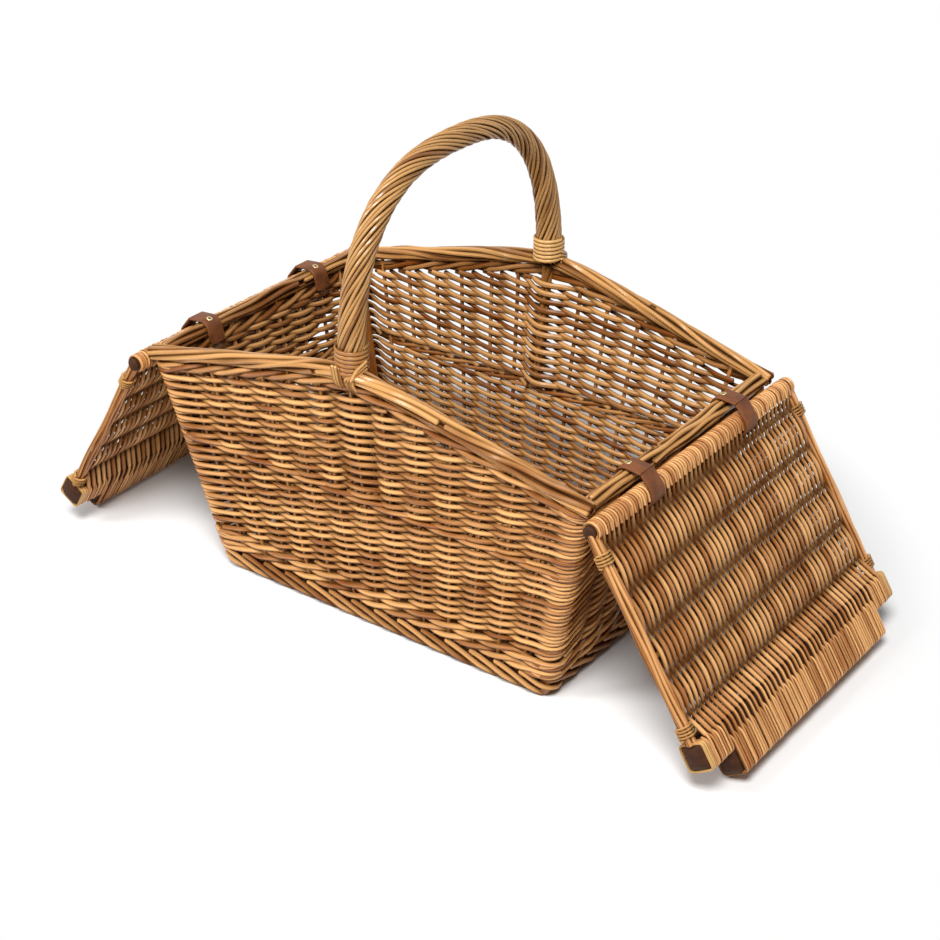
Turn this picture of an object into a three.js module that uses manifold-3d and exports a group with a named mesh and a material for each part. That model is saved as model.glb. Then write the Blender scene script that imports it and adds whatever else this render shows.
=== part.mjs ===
// Willow hamper basket with a fixed bow handle and two flap lids, both folded out to the ground.
// Millimetres, +Z up, X along the basket, Y across it, origin on the ground under the middle.

import * as THREE from 'three';
import { mergeVertices } from 'three/addons/utils/BufferGeometryUtils.js';
import Module from 'manifold-3d';

const wasm = await Module();
wasm.setup();

// Driving dimensions of the basket

const RIM_LENGTH = 480;
const RIM_WIDTH = 298;
const END_RIM_HEIGHT = 226;
const MIDDLE_RIM_HEIGHT = 276;
const CROWN_LENGTH = 28;
const BORDER = 15;
const FOOT_LENGTH = 376;
const FOOT_WIDTH = 246;
const FOOT_HEIGHT = 14;
const FOOT_RING = 14;
const FOOT_CORNER = 16;
const BASE_THICKNESS = 10;
const BASE_LIFT = 3;
const ROD = 4.4;
const BOW = 3.1;
const COURSE = 8.2;
const SIDE_BAYS = 14;
const END_BAYS = 9;
const POST = 14;
const CLEARANCE = 0.3;

// Driving dimensions of the handle

const HANDLE_TOP = 443;
const HANDLE = 23;
const HANDLE_CORE = 12;
const HANDLE_SQUARENESS = 2.55;
const HANDLE_INSET = 4.5;
const LEG_DEPTH = 110;
const BINDING = 2.5;
const BINDING_HEIGHT = 21;
const BINDING_LOOP_WIDTH = 18;
const BINDING_LOOP_DROP = 22;

// Driving dimensions of the straps and rivets

const STRAP_WIDTH = 19;
const STRAP = 2.5;
const STRAP_SPACING = 150;
const STRAP_TAIL = 14;
const STRAP_MITRE = 0.6;
const STRAP_WRAP = THREE.MathUtils.degToRad(200);
const RIVET_HEAD = 7;
const RIVET_HEAD_HEIGHT = 1.5;
const RIVET_SHANK = 3;
const RIVET_LENGTH = 13;
const RIVET_ANGLE = THREE.MathUtils.degToRad(126);
const HINGE_REACH = 8;
const HINGE_RISE = 9;

// Driving dimensions of a lid

const LID_WIDTH = 320;
const LID_PANEL = 11;
const HINGE_BAR = 12;
const HINGE_BAR_REACH = 15;
const STRAND_WRAP = 3.2;
const BAR_PROUD = 3;
const STICK = 7;
const STICK_COUNT = 4;
const SIDE_RODS_WIDTH = 10;
const SIDE_RODS_DEPTH = 8;
const SIDE_RODS_INSET = 0;
const BATTEN = 21.5;
const MEETING_BATTEN_GAP = 1;
const LID_GAP = 3;
const LID_SEAT = 1;
const TIE = 1.8;
const TIE_WIDTH = 8;
const TIE_INSET = 14;
const GROUND_CLEARANCE = 0.5;

// Joining and cutting of closed meshes

function toSolid(geometry) {
  const bare = geometry.clone();
  bare.deleteAttribute('normal');
  bare.deleteAttribute('uv');
  const merged = mergeVertices(bare, 1e-4);
  return new wasm.Manifold(new wasm.Mesh({
    numProp: 3,
    vertProperties: new Float32Array(merged.attributes.position.array),
    triVerts: new Uint32Array(merged.index.array),
  }));
}

function toGeometry(solid) {
  const mesh = solid.getMesh();
  const geometry = new THREE.BufferGeometry();
  geometry.setAttribute('position', new THREE.BufferAttribute(mesh.vertProperties, 3));
  geometry.setIndex(new THREE.BufferAttribute(mesh.triVerts, 1));
  geometry.computeVertexNormals();
  return geometry;
}

function cut(geometry, tools) {
  return toGeometry(tools.reduce((solid, tool) => solid.subtract(toSolid(tool)), toSolid(geometry)));
}

function join(geometries) {
  return toGeometry(geometries.map(toSolid).reduce((solid, next) => solid.add(next)));
}

// Finishes and placing

const WILLOW = { color: 0xb17a3e, roughness: 0.55, metalness: 0 };
const PALE_WILLOW = { color: 0xc79a5c, roughness: 0.5, metalness: 0 };
const DARK_WOOD = { color: 0x4a2c1a, roughness: 0.6, metalness: 0 };
const LEATHER = { color: 0x7a4427, roughness: 0.6, metalness: 0 };
const BRASS = { color: 0xc9b27a, roughness: 0.3, metalness: 1 };

const hamper = new THREE.Group();

function piece(name, geometry, finish, parent) {
  const mesh = new THREE.Mesh(geometry, new THREE.MeshStandardMaterial(finish));
  mesh.name = name;
  parent.add(mesh);
  return mesh;
}

function turnedGroup(angle, parent) {
  const group = new THREE.Group();
  group.rotation.z = angle;
  parent.add(group);
  return group;
}

function disc(radius, sides) {
  const corners = Array.from({ length: sides }, (_, i) => {
    const angle = (2 * Math.PI * i) / sides;
    return new THREE.Vector2(radius * Math.cos(angle), radius * Math.sin(angle));
  });
  return new THREE.Shape(corners);
}

function tube(path, steps, radius, sides, bore = 0) {
  const section = disc(radius, sides);
  if (bore > 0) section.holes.push(disc(bore, sides));
  return new THREE.ExtrudeGeometry(section, { steps, extrudePath: path, bevelEnabled: false });
}

function barAlongY(radius, length, sides, x, z) {
  return new THREE.CylinderGeometry(radius, radius, length, sides).translate(x, 0, z);
}

function profileAlongY(shape, width, y) {
  const options = { depth: width, bevelEnabled: false, curveSegments: 10 };
  const geometry = new THREE.ExtrudeGeometry(shape, options);
  return geometry.rotateX(Math.PI / 2).translate(0, y + width / 2, 0);
}

// Lines that the basket is built on

const footX = (FOOT_LENGTH - POST) / 2;
const footY = (FOOT_WIDTH - POST) / 2;
const rimX = (RIM_LENGTH - BORDER) / 2;
const rimY = (RIM_WIDTH - BORDER) / 2;
const endZ = END_RIM_HEIGHT - BORDER / 2;
const middleZ = MIDDLE_RIM_HEIGHT - BORDER / 2;
const sideLean = Math.atan2(rimY - footY, endZ);
const endLean = Math.atan2(rimX - footX, endZ);
const crownSpan = Math.hypot(rimX, CROWN_LENGTH) - CROWN_LENGTH;

// The long rims rise as two slopes that meet in a rounded crown at the handle, a hyperbola.
function archZ(x) {
  return middleZ - ((middleZ - endZ) * (Math.hypot(x, CROWN_LENGTH) - CROWN_LENGTH)) / crownSpan;
}

function archSlope(x) {
  return (-(middleZ - endZ) * x) / Math.hypot(x, CROWN_LENGTH) / crownSpan;
}

function sideY(z) {
  return footY + ((rimY - footY) * z) / endZ;
}

// Foot border and base

function roundedRectangle(length, width, radius) {
  const shape = new THREE.Shape();
  const x = length / 2 - radius;
  const y = width / 2 - radius;
  shape.absarc(x, y, radius, 0, Math.PI / 2);
  shape.absarc(-x, y, radius, Math.PI / 2, Math.PI);
  shape.absarc(-x, -y, radius, Math.PI, 1.5 * Math.PI);
  shape.absarc(x, -y, radius, 1.5 * Math.PI, 2 * Math.PI);
  shape.closePath();
  return shape;
}

const footOutline = roundedRectangle(FOOT_LENGTH, FOOT_WIDTH, FOOT_CORNER);
const innerLength = FOOT_LENGTH - 2 * FOOT_RING;
const innerWidth = FOOT_WIDTH - 2 * FOOT_RING;
const innerCorner = Math.max(FOOT_CORNER - FOOT_RING, 1);
footOutline.holes.push(roundedRectangle(innerLength, innerWidth, innerCorner));
const footGeometry = new THREE.ExtrudeGeometry(footOutline, {
  depth: FOOT_HEIGHT,
  bevelEnabled: false,
  curveSegments: 6,
});
piece('foot_border', footGeometry, WILLOW, hamper);

const baseOutline = roundedRectangle(innerLength - 2 * CLEARANCE, innerWidth - 2 * CLEARANCE, innerCorner);
const baseGeometry = new THREE.ExtrudeGeometry(baseOutline, {
  depth: BASE_THICKNESS,
  bevelEnabled: false,
  curveSegments: 4,
});
piece('base', baseGeometry, WILLOW, hamper).position.z = BASE_LIFT;

// Handle line: straight legs inside the long walls and a superellipse bow over them

const handleY = sideY(middleZ) - HANDLE_INSET;
const bowRise = HANDLE_TOP - HANDLE / 2 - middleZ;

function bowPoint(angle) {
  const across = Math.abs(Math.cos(angle) / handleY) ** HANDLE_SQUARENESS;
  const upward = Math.abs(Math.sin(angle) / bowRise) ** HANDLE_SQUARENESS;
  const reach = (across + upward) ** (-1 / HANDLE_SQUARENESS);
  return new THREE.Vector3(0, -reach * Math.cos(angle), middleZ + reach * Math.sin(angle));
}

function bowCurve(start, count) {
  const points = Array.from({ length: count + 1 }, (_, i) => {
    return bowPoint(start + ((Math.PI - 2 * start) * i) / count);
  });
  return new THREE.CatmullRomCurve3(points);
}

const legZ = middleZ - LEG_DEPTH;
const legY = sideY(legZ) - HANDLE_INSET;
const handlePath = new THREE.CurvePath();
handlePath.add(new THREE.LineCurve3(new THREE.Vector3(0, -legY, legZ), bowPoint(0)));
handlePath.add(bowCurve(0, 32));
handlePath.add(new THREE.LineCurve3(bowPoint(Math.PI), new THREE.Vector3(0, legY, legZ)));

const HANDLE_STEPS = 64;
const legChannel = tube(handlePath, HANDLE_STEPS, HANDLE_CORE / 2 + CLEARANCE, 12);
piece('handle_core', tube(handlePath, HANDLE_STEPS, HANDLE_CORE / 2, 12), WILLOW, hamper);

const wrapZ = MIDDLE_RIM_HEIGHT + CLEARANCE;
const wrapStart = Math.atan2(wrapZ - middleZ, handleY);
const wrapGeometry = tube(bowCurve(wrapStart, 32), 48, HANDLE / 2, 12, HANDLE_CORE / 2 + CLEARANCE);
const belowWrap = new THREE.BoxGeometry(2 * HANDLE, RIM_WIDTH + HANDLE, HANDLE);
belowWrap.translate(0, 0, wrapZ - HANDLE / 2);
piece('handle_wrap', cut(wrapGeometry, [belowWrap]), WILLOW, hamper);

// Walls of the basket, each a woven sheet in its own leaning plane. At each stake the sheet bows out and in
// by turns, once a course, and half way between two stakes it lies flat, where the rods cross.

function wall(name, geometry, foot, lean, turn) {
  const mesh = piece(name, geometry, WILLOW, turnedGroup(turn, hamper));
  mesh.rotation.x = Math.PI / 2 + lean;
  mesh.position.y = -foot;
}

// Heights and distances out of a wall at a stake: out and in every half course.
function stakeLine(foot, top, inner) {
  const line = [[foot, 0]];
  for (let i = 0; foot + (i / 2 + 0.25) * COURSE < top - COURSE / 4; i += 1) {
    line.push([foot + (i / 2 + 0.25) * COURSE, i % 2 ? BOW : inner]);
  }
  return [...line, [top, 0]];
}

// Heights along a line where rods cross and the sheet lies flat: every second course, between strokes.
function crossingLine(foot, top, first) {
  const line = [[foot, 0]];
  for (let height = foot + (first + 0.25) * COURSE; height < top - COURSE; height += 2 * COURSE) {
    line.push([height, 0]);
  }
  return [...line, [top, 0]];
}

// A closed sheet through rising lines of points that lie side by side, from left to right.
function sheet(lines) {
  const points = lines.flat();
  const count = points.length;
  const firsts = lines.map((_, i) => lines.slice(0, i).reduce((sum, line) => sum + line.length, 0));
  const lasts = lines.map((line, i) => firsts[i] + line.length - 1);
  const faces = [];
  for (let i = 0; i + 1 < lines.length; i += 1) {
    let left = firsts[i];
    let right = firsts[i + 1];
    while (left < lasts[i] || right < lasts[i + 1]) {
      const leftStep = left < lasts[i] ? Math.abs(points[left + 1].y - points[right].y) : Infinity;
      const rightStep = right < lasts[i + 1] ? Math.abs(points[right + 1].y - points[left].y) : Infinity;
      const onRight = rightStep < leftStep;
      const next = onRight ? right + 1 : left + 1;
      faces.push(left, right, next, left + count, next + count, right + count);
      if (onRight) right = next;
      else left = next;
    }
  }
  const rightSide = lines.at(-1).map((_, i) => firsts.at(-1) + i).slice(1);
  const leftSide = lines[0].map((_, i) => firsts[0] + i).slice(1, -1).reverse();
  const rim = [...firsts, ...rightSide, ...lasts.slice(0, -1).reverse(), ...leftSide];
  rim.forEach((from, i) => {
    const to = rim[(i + 1) % rim.length];
    faces.push(to, from, from + count, to, from + count, to + count);
  });
  const places = [ROD / 2, -ROD / 2].flatMap((side) => points.flatMap((p) => [p.x, p.y, p.z + side]));
  const geometry = new THREE.BufferGeometry();
  geometry.setAttribute('position', new THREE.Float32BufferAttribute(places, 3));
  geometry.setIndex(faces);
  geometry.computeVertexNormals();
  return geometry;
}

// A wall from the half-lengths of its foot and its rim, its lean, its bays and its top. Its edges keep clear
// of the corner posts, and at the middle stake it keeps outside the leg of the handle.
function wovenWall(foot, rim, lean, bays, topAt, middleInner) {
  const splay = ((rim - foot) * Math.cos(lean)) / endZ;
  const postGap = (POST / 2 + CLEARANCE) * Math.hypot(1, splay);
  const low = (FOOT_HEIGHT + CLEARANCE) / Math.cos(lean) + (ROD / 2) * Math.tan(lean);
  const line = (xAt, outline) => {
    let top = topAt(0);
    for (let i = 0; i < 8; i += 1) top = topAt(xAt(top));
    return outline(low, top).map(([height, out]) => new THREE.Vector3(xAt(height), height, out));
  };
  const halfLength = (height) => foot + splay * height;
  const lines = [];
  for (let half = 2; half <= 2 * bays - 2; half += 1) {
    const inner = half === bays ? middleInner : -BOW;
    const crossing = half % 4 === 1 ? 1 : 2;
    const outline = (from, to) =>
      half % 2 ? crossingLine(from, to, crossing) : stakeLine(from, to, inner);
    lines.push(line((height) => (half / bays - 1) * halfLength(height), outline));
  }
  const edge = (height) => halfLength(height) - postGap;
  const edgeLine = (sign) => line((height) => sign * edge(height), (from, to) => crossingLine(from, to, 1));
  return sheet([edgeLine(-1), ...lines, edgeLine(1)]);
}

function sideTop(x) {
  const belowBorder = (BORDER / 2 + CLEARANCE) * Math.hypot(1, archSlope(x));
  return (archZ(x) - belowBorder) / Math.cos(sideLean);
}

const besideLeg = ROD / 2 + HANDLE_CORE / 2 + CLEARANCE - HANDLE_INSET;
const sideGeometry = wovenWall(footX, rimX, sideLean, SIDE_BAYS, sideTop, besideLeg);
const sidePlace = new THREE.Matrix4().makeRotationX(Math.PI / 2 + sideLean).setPosition(0, -footY, 0);
const channelInSide = legChannel.clone().applyMatrix4(sidePlace.invert());
const sideWithChannel = cut(sideGeometry, [channelInSide]);
wall('wall_front', sideWithChannel, footY, sideLean, 0);
wall('wall_back', sideWithChannel.clone(), footY, sideLean, Math.PI);

const endTop = endZ / Math.cos(endLean) - BORDER / 2 - CLEARANCE;
const endGeometry = wovenWall(footY, rimY, endLean, END_BAYS, () => endTop, -BOW);
wall('wall_right', endGeometry, footX, endLean, Math.PI / 2);
wall('wall_left', endGeometry.clone(), footX, endLean, -Math.PI / 2);

// Corner posts, leaning out from the foot border to the rim

for (const [end, sx] of [['left', -1], ['right', 1]]) {
  for (const [side, sy] of [['front', -1], ['back', 1]]) {
    const rim = new THREE.Vector3(sx * rimX, sy * rimY, endZ);
    const direction = rim.clone().sub(new THREE.Vector3(sx * footX, sy * footY, 0)).normalize();
    const tilt = Math.hypot(direction.x, direction.y);
    const below = (FOOT_HEIGHT + CLEARANCE + (POST / 2) * tilt) / direction.z;
    const length = rim.z / direction.z - below - BORDER / 2 - CLEARANCE;
    const stick = new THREE.CylinderGeometry(POST / 2, POST / 2, length, 16);
    const post = piece(`post_${side}_${end}`, stick, WILLOW, hamper);
    post.quaternion.setFromUnitVectors(new THREE.Vector3(0, 1, 0), direction);
    post.position.copy(rim).addScaledVector(direction, -(BORDER / 2 + CLEARANCE + length / 2));
  }
}

// Borders of the rim: arched along the sides, straight across the ends

const BORDER_STEPS = 24;
const borderPoints = Array.from({ length: BORDER_STEPS + 1 }, (_, i) => {
  const x = (RIM_LENGTH / 2) * ((2 * i) / BORDER_STEPS - 1);
  return new THREE.Vector3(x, -sideY(archZ(x)), archZ(x));
});
const sideBorder = tube(new THREE.CatmullRomCurve3(borderPoints), BORDER_STEPS * 2, BORDER / 2, 12);
const sideBorderCut = cut(sideBorder, [legChannel]);
piece('border_front', sideBorderCut, PALE_WILLOW, turnedGroup(0, hamper));
piece('border_back', sideBorderCut.clone(), PALE_WILLOW, turnedGroup(Math.PI, hamper));

// Rivet with a domed head, driven through the strap into the end border

function rivetGeometry(extra) {
  const head = RIVET_HEAD / 2;
  const shank = RIVET_SHANK / 2 + extra;
  const seat = BORDER / 2 + STRAP + 2 * CLEARANCE;
  const outline = [
    new THREE.Vector2(0, seat - RIVET_LENGTH),
    new THREE.Vector2(shank, seat - RIVET_LENGTH),
    new THREE.Vector2(shank, seat),
    new THREE.Vector2(head, seat),
    new THREE.Vector2(head * 0.8, seat + RIVET_HEAD_HEIGHT * 0.7),
    new THREE.Vector2(head * 0.4, seat + RIVET_HEAD_HEIGHT),
    new THREE.Vector2(0, seat + RIVET_HEAD_HEIGHT),
  ];
  return new THREE.LatheGeometry(outline, 14);
}

function placeRivet(geometry, y) {
  const outward = new THREE.Vector3(Math.cos(RIVET_ANGLE), 0, Math.sin(RIVET_ANGLE));
  const turn = new THREE.Quaternion().setFromUnitVectors(new THREE.Vector3(0, 1, 0), outward);
  return geometry.applyQuaternion(turn).translate(rimX, y, endZ);
}

// Strap over the end border: a tail inside, the arc over the top and a leaf out to the hinge line.
// The hinge line is the strap's crease, on the upper face of the leaf.

const hinge = new THREE.Vector2(rimX + BORDER / 2 + HINGE_REACH, endZ + HINGE_RISE);
const rimCentre = new THREE.Vector2(rimX, endZ);
const leafHalfGap = CLEARANCE / 2;
const rimStrapInner = BORDER / 2 + CLEARANCE;
const rimStrapOuter = rimStrapInner + STRAP;
const hingeOffset = hinge.clone().sub(rimCentre);
const leafAngle = Math.PI + hingeOffset.angle()
  - Math.asin((rimStrapOuter + leafHalfGap) / hingeOffset.length());

function polar(angle) {
  return new THREE.Vector2(Math.cos(angle), Math.sin(angle));
}

function leafPoint(along, offset) {
  const outward = polar(leafAngle - Math.PI / 2);
  return hinge.clone().addScaledVector(polar(leafAngle), along).addScaledVector(outward, offset);
}

function rimStrapShape() {
  const start = leafAngle - Math.PI / 2;
  const near = leafPoint(leafHalfGap, -leafHalfGap);
  const under = leafPoint(STRAP * STRAP_MITRE, -leafHalfGap - STRAP);
  const finish = Math.PI - endLean;
  const down = polar(finish + Math.PI / 2).multiplyScalar(STRAP_TAIL).add(rimCentre);
  const tailOuter = down.clone().addScaledVector(polar(finish), rimStrapOuter);
  const tailInner = down.clone().addScaledVector(polar(finish), rimStrapInner);
  const shape = new THREE.Shape();
  shape.moveTo(near.x, near.y);
  shape.absarc(rimCentre.x, rimCentre.y, rimStrapOuter, start, finish);
  shape.lineTo(tailOuter.x, tailOuter.y);
  shape.lineTo(tailInner.x, tailInner.y);
  shape.absarc(rimCentre.x, rimCentre.y, rimStrapInner, finish, start, true);
  shape.lineTo(under.x, under.y);
  shape.closePath();
  return shape;
}

const strapPlaces = [-STRAP_SPACING / 2, STRAP_SPACING / 2];
const endBorderLength = 2 * (rimY - BORDER / 2 - CLEARANCE);
const ENDS = [['right', 0, ['front', 'back']], ['left', Math.PI, ['back', 'front']]];

for (const [end, turn, sides] of ENDS) {
  const group = turnedGroup(turn, hamper);
  const bores = strapPlaces.map((y) => placeRivet(rivetGeometry(CLEARANCE), y));
  const border = barAlongY(BORDER / 2, endBorderLength, 16, rimX, endZ);
  piece(`border_${end}`, cut(border, bores), PALE_WILLOW, group);
  strapPlaces.forEach((y, i) => {
    const strap = profileAlongY(rimStrapShape(), STRAP_WIDTH, y);
    piece(`strap_rim_${end}_${sides[i]}`, cut(strap, [bores[i]]), LEATHER, group);
    piece(`rivet_${end}_${sides[i]}`, placeRivet(rivetGeometry(0), y), BRASS, group);
  });
}

// Bindings of the handle: turns round its foot and a loop down over the outside of the border

function bindingGeometry() {
  const bore = HANDLE / 2 + CLEARANCE;
  const outer = bore + BINDING;
  const turns = new THREE.CylinderGeometry(outer, outer, BINDING_HEIGHT, 16).rotateX(Math.PI / 2);
  turns.translate(0, -handleY, wrapZ + BINDING_HEIGHT / 2);
  const loopY = sideY(middleZ) + BORDER / 2 + CLEARANCE;
  const top = wrapZ + BINDING_HEIGHT / 2;
  const bottom = middleZ - BINDING_LOOP_DROP;
  const loop = new THREE.Shape([
    new THREE.Vector2(-handleY - bore + BINDING, top),
    new THREE.Vector2(-handleY - bore - BINDING, top),
    new THREE.Vector2(-loopY - BINDING, wrapZ),
    new THREE.Vector2(-loopY - BINDING, bottom),
    new THREE.Vector2(-loopY, bottom),
    new THREE.Vector2(-loopY, wrapZ),
    new THREE.Vector2(-handleY, wrapZ),
  ]);
  const loopGeometry = profileAlongY(loop, BINDING_LOOP_WIDTH, 0).rotateZ(Math.PI / 2);
  const room = tube(bowCurve(0, 32), 48, bore, 16);
  return cut(join([turns, loopGeometry]), [room]);
}

piece('handle_binding_front', bindingGeometry(), PALE_WILLOW, turnedGroup(0, hamper));
piece('handle_binding_back', bindingGeometry(), PALE_WILLOW, turnedGroup(Math.PI, hamper));

// Closed place of a lid: the hinge bar over the end border, the rest batten on the arched rims

const barRadius = HINGE_BAR / 2 + CLEARANCE + STRAND_WRAP;
const barStrapInner = barRadius + CLEARANCE;
const barStrapOuter = barStrapInner + STRAP;
const barClosed = leafPoint(HINGE_BAR_REACH, barStrapOuter + leafHalfGap);
const pitch = Math.atan2(middleZ - endZ, rimX);
const wrapHalf = BATTEN / 2 + CLEARANCE + STRAND_WRAP;
const battenStep = BATTEN + CLEARANCE;
const restX = LID_GAP / 2 + (battenStep + wrapHalf) * Math.cos(pitch) + wrapHalf * Math.sin(pitch);
const restSeat = (BORDER / 2 + wrapHalf + LID_SEAT) * Math.hypot(1, archSlope(restX));
const restClosed = new THREE.Vector2(restX, archZ(restX) + restSeat);
const lidReach = barClosed.distanceTo(restClosed);
const closedAngle = restClosed.clone().sub(barClosed).angle();

// The meeting batten fits between the bindings of the handle.
const meetingLength = 2 * (handleY - HANDLE / 2 - CLEARANCE - BINDING - MEETING_BATTEN_GAP);

// A lid's own frame: the origin on its hinge line, X from the hinge bar to the battens, Z to its underside

const bar = barClosed.clone().sub(hinge).rotateAround(new THREE.Vector2(), -closedAngle);
const rest = new THREE.Vector2(bar.x + lidReach, bar.y);
const meeting = new THREE.Vector2(rest.x + battenStep, rest.y);

// Height of the lowest corner of the wrapped battens when the lid is folded out to an angle.
function lowestCorner(angle) {
  const height = hinge.y + meeting.x * Math.sin(angle) + meeting.y * Math.cos(angle);
  return height - wrapHalf * (Math.abs(Math.sin(angle)) + Math.abs(Math.cos(angle)));
}

let openAngle = -Math.PI / 2;
let levelAngle = 0;
for (let i = 0; i < 40; i += 1) {
  const middle = (openAngle + levelAngle) / 2;
  if (lowestCorner(middle) < GROUND_CLEARANCE) openAngle = middle;
  else levelAngle = middle;
}

// Panel of woven strands: a slab with channels for the cross sticks, a sleeve round the hinge bar and one
// round both battens

const rodsY = LID_WIDTH / 2 - SIDE_RODS_INSET - SIDE_RODS_WIDTH / 2;
const panelHalf = rodsY - SIDE_RODS_WIDTH / 2 - CLEARANCE;
const battenWrapStart = rest.x - wrapHalf;
const rodsStart = bar.x + barRadius + CLEARANCE;
const rodsEnd = battenWrapStart - CLEARANCE;
const stickStep = (battenWrapStart - bar.x) / (STICK_COUNT + 1);
const stickPlaces = Array.from({ length: STICK_COUNT }, (_, i) => bar.x + stickStep * (i + 1));
const tiePlaces = [rodsStart + TIE_INSET, rodsEnd - TIE_INSET];

function lidBox(start, end, width, depth) {
  return new THREE.BoxGeometry(end - start, width, depth).translate((start + end) / 2, 0, bar.y);
}

function panelGeometry() {
  const deep = 2 * LID_PANEL;
  const plate = lidBox(bar.x, battenWrapStart + STRAND_WRAP / 2, 2 * panelHalf, LID_PANEL);
  const strapRoom = strapPlaces.map((y) => {
    const width = STRAP_WIDTH + 2 * CLEARANCE;
    return barAlongY(barStrapOuter + CLEARANCE, width, 24, bar.x, bar.y).translate(0, y, 0);
  });
  const tieRoom = tiePlaces.flatMap((x) => [-1, 1].map((side) => {
    const depth = TIE + CLEARANCE;
    const room = new THREE.BoxGeometry(TIE_WIDTH + 2 * CLEARANCE, 2 * depth, deep);
    return room.translate(x, side * panelHalf, bar.y);
  }));
  const channels = stickPlaces.map((x) => barAlongY(STICK / 2 + CLEARANCE, LID_WIDTH, 12, x, bar.y));
  const woven = cut(plate, [...strapRoom, ...tieRoom, ...channels]);
  const wrapWidth = LID_WIDTH - 2 * BAR_PROUD;
  const barSleeve = barAlongY(barRadius, wrapWidth, 20, bar.x, bar.y);
  const restSleeve = lidBox(battenWrapStart, rest.x + wrapHalf, wrapWidth, 2 * wrapHalf);
  const meetingSleeve = lidBox(rest.x, meeting.x + wrapHalf, meetingLength - 2 * BAR_PROUD, 2 * wrapHalf);
  const barBore = barAlongY(HINGE_BAR / 2 + CLEARANCE, LID_WIDTH, 16, bar.x, bar.y);
  const room = BATTEN / 2 + CLEARANCE;
  const restBore = lidBox(rest.x - room, rest.x + room, LID_WIDTH, 2 * room);
  const meetingBore = lidBox(meeting.x - room, meeting.x + room, meetingLength + 2 * CLEARANCE, 2 * room);
  return cut(join([woven, barSleeve, restSleeve, meetingSleeve]), [barBore, restBore, meetingBore]);
}

// Strap on the lid: a leaf from the crease, then round the wrapped hinge bar and through the weave

function lidStrapShape() {
  const turn = leafAngle - closedAngle;
  const along = polar(turn);
  const toBar = polar(turn - Math.PI / 2);
  const near = along.clone().multiplyScalar(leafHalfGap).addScaledVector(toBar, leafHalfGap);
  const far = along.clone().multiplyScalar(STRAP * STRAP_MITRE).addScaledVector(toBar, leafHalfGap + STRAP);
  const start = turn + Math.PI / 2;
  const shape = new THREE.Shape();
  shape.moveTo(near.x, near.y);
  shape.absarc(bar.x, bar.y, barStrapOuter, start, start - STRAP_WRAP, true);
  shape.absarc(bar.x, bar.y, barStrapInner, start - STRAP_WRAP, start);
  shape.lineTo(far.x, far.y);
  shape.closePath();
  return shape;
}

// Tie of split willow: a flat ring round a lid's side rods

function rectangle(width, height) {
  const [x, y] = [width / 2, height / 2];
  const corners = [[-x, -y], [x, -y], [x, y], [-x, y]];
  return new THREE.Shape(corners.map((corner) => new THREE.Vector2(...corner)));
}

function tieGeometry(x, y) {
  const room = 2 * CLEARANCE;
  const ring = rectangle(SIDE_RODS_WIDTH + room + 2 * TIE, SIDE_RODS_DEPTH + room + 2 * TIE);
  ring.holes.push(rectangle(SIDE_RODS_WIDTH + room, SIDE_RODS_DEPTH + room));
  const geometry = new THREE.ExtrudeGeometry(ring, { depth: TIE_WIDTH, bevelEnabled: false });
  geometry.rotateX(Math.PI / 2).rotateZ(Math.PI / 2);
  return geometry.translate(x - TIE_WIDTH / 2, y, bar.y);
}

// Lids: one at each end, alike, the left one turned half way round

for (const [end, turn, sides] of ENDS) {
  const lid = new THREE.Group();
  lid.position.set(hinge.x, 0, hinge.y);
  lid.rotation.y = -openAngle;
  turnedGroup(turn, hamper).add(lid);
  const name = (part) => `lid_${end}_${part}`;

  piece(name('hinge_bar'), barAlongY(HINGE_BAR / 2, LID_WIDTH, 16, bar.x, bar.y), DARK_WOOD, lid);
  piece(name('panel'), panelGeometry(), WILLOW, lid);
  stickPlaces.forEach((x, i) => {
    piece(name(`stick_${i + 1}`), barAlongY(STICK / 2, 2 * panelHalf, 12, x, bar.y), WILLOW, lid);
  });

  const restBatten = new THREE.BoxGeometry(BATTEN, LID_WIDTH, BATTEN);
  piece(name('rest_batten'), restBatten, DARK_WOOD, lid).position.set(rest.x, 0, rest.y);
  const meetingBatten = new THREE.BoxGeometry(BATTEN, meetingLength, BATTEN);
  piece(name('meeting_batten'), meetingBatten, DARK_WOOD, lid).position.set(meeting.x, 0, meeting.y);

  [-1, 1].forEach((side, i) => {
    const y = side * rodsY;
    const rods = lidBox(rodsStart, rodsEnd, SIDE_RODS_WIDTH, SIDE_RODS_DEPTH).translate(0, y, 0);
    piece(name(`side_rods_${sides[i]}`), rods, WILLOW, lid);
    piece(name(`hinge_tie_${sides[i]}`), tieGeometry(tiePlaces[0], y), PALE_WILLOW, lid);
    piece(name(`free_tie_${sides[i]}`), tieGeometry(tiePlaces[1], y), PALE_WILLOW, lid);
    const strap = profileAlongY(lidStrapShape(), STRAP_WIDTH, strapPlaces[i]);
    piece(name(`strap_${sides[i]}`), strap, LEATHER, lid);
  });
}

export default hamper;
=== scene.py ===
"""Willow hamper basket with a roped bow handle and two strap-hinged flap lids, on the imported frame."""

from collections import namedtuple

import bpy
import numpy as np
from mathutils import Matrix, Vector


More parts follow.
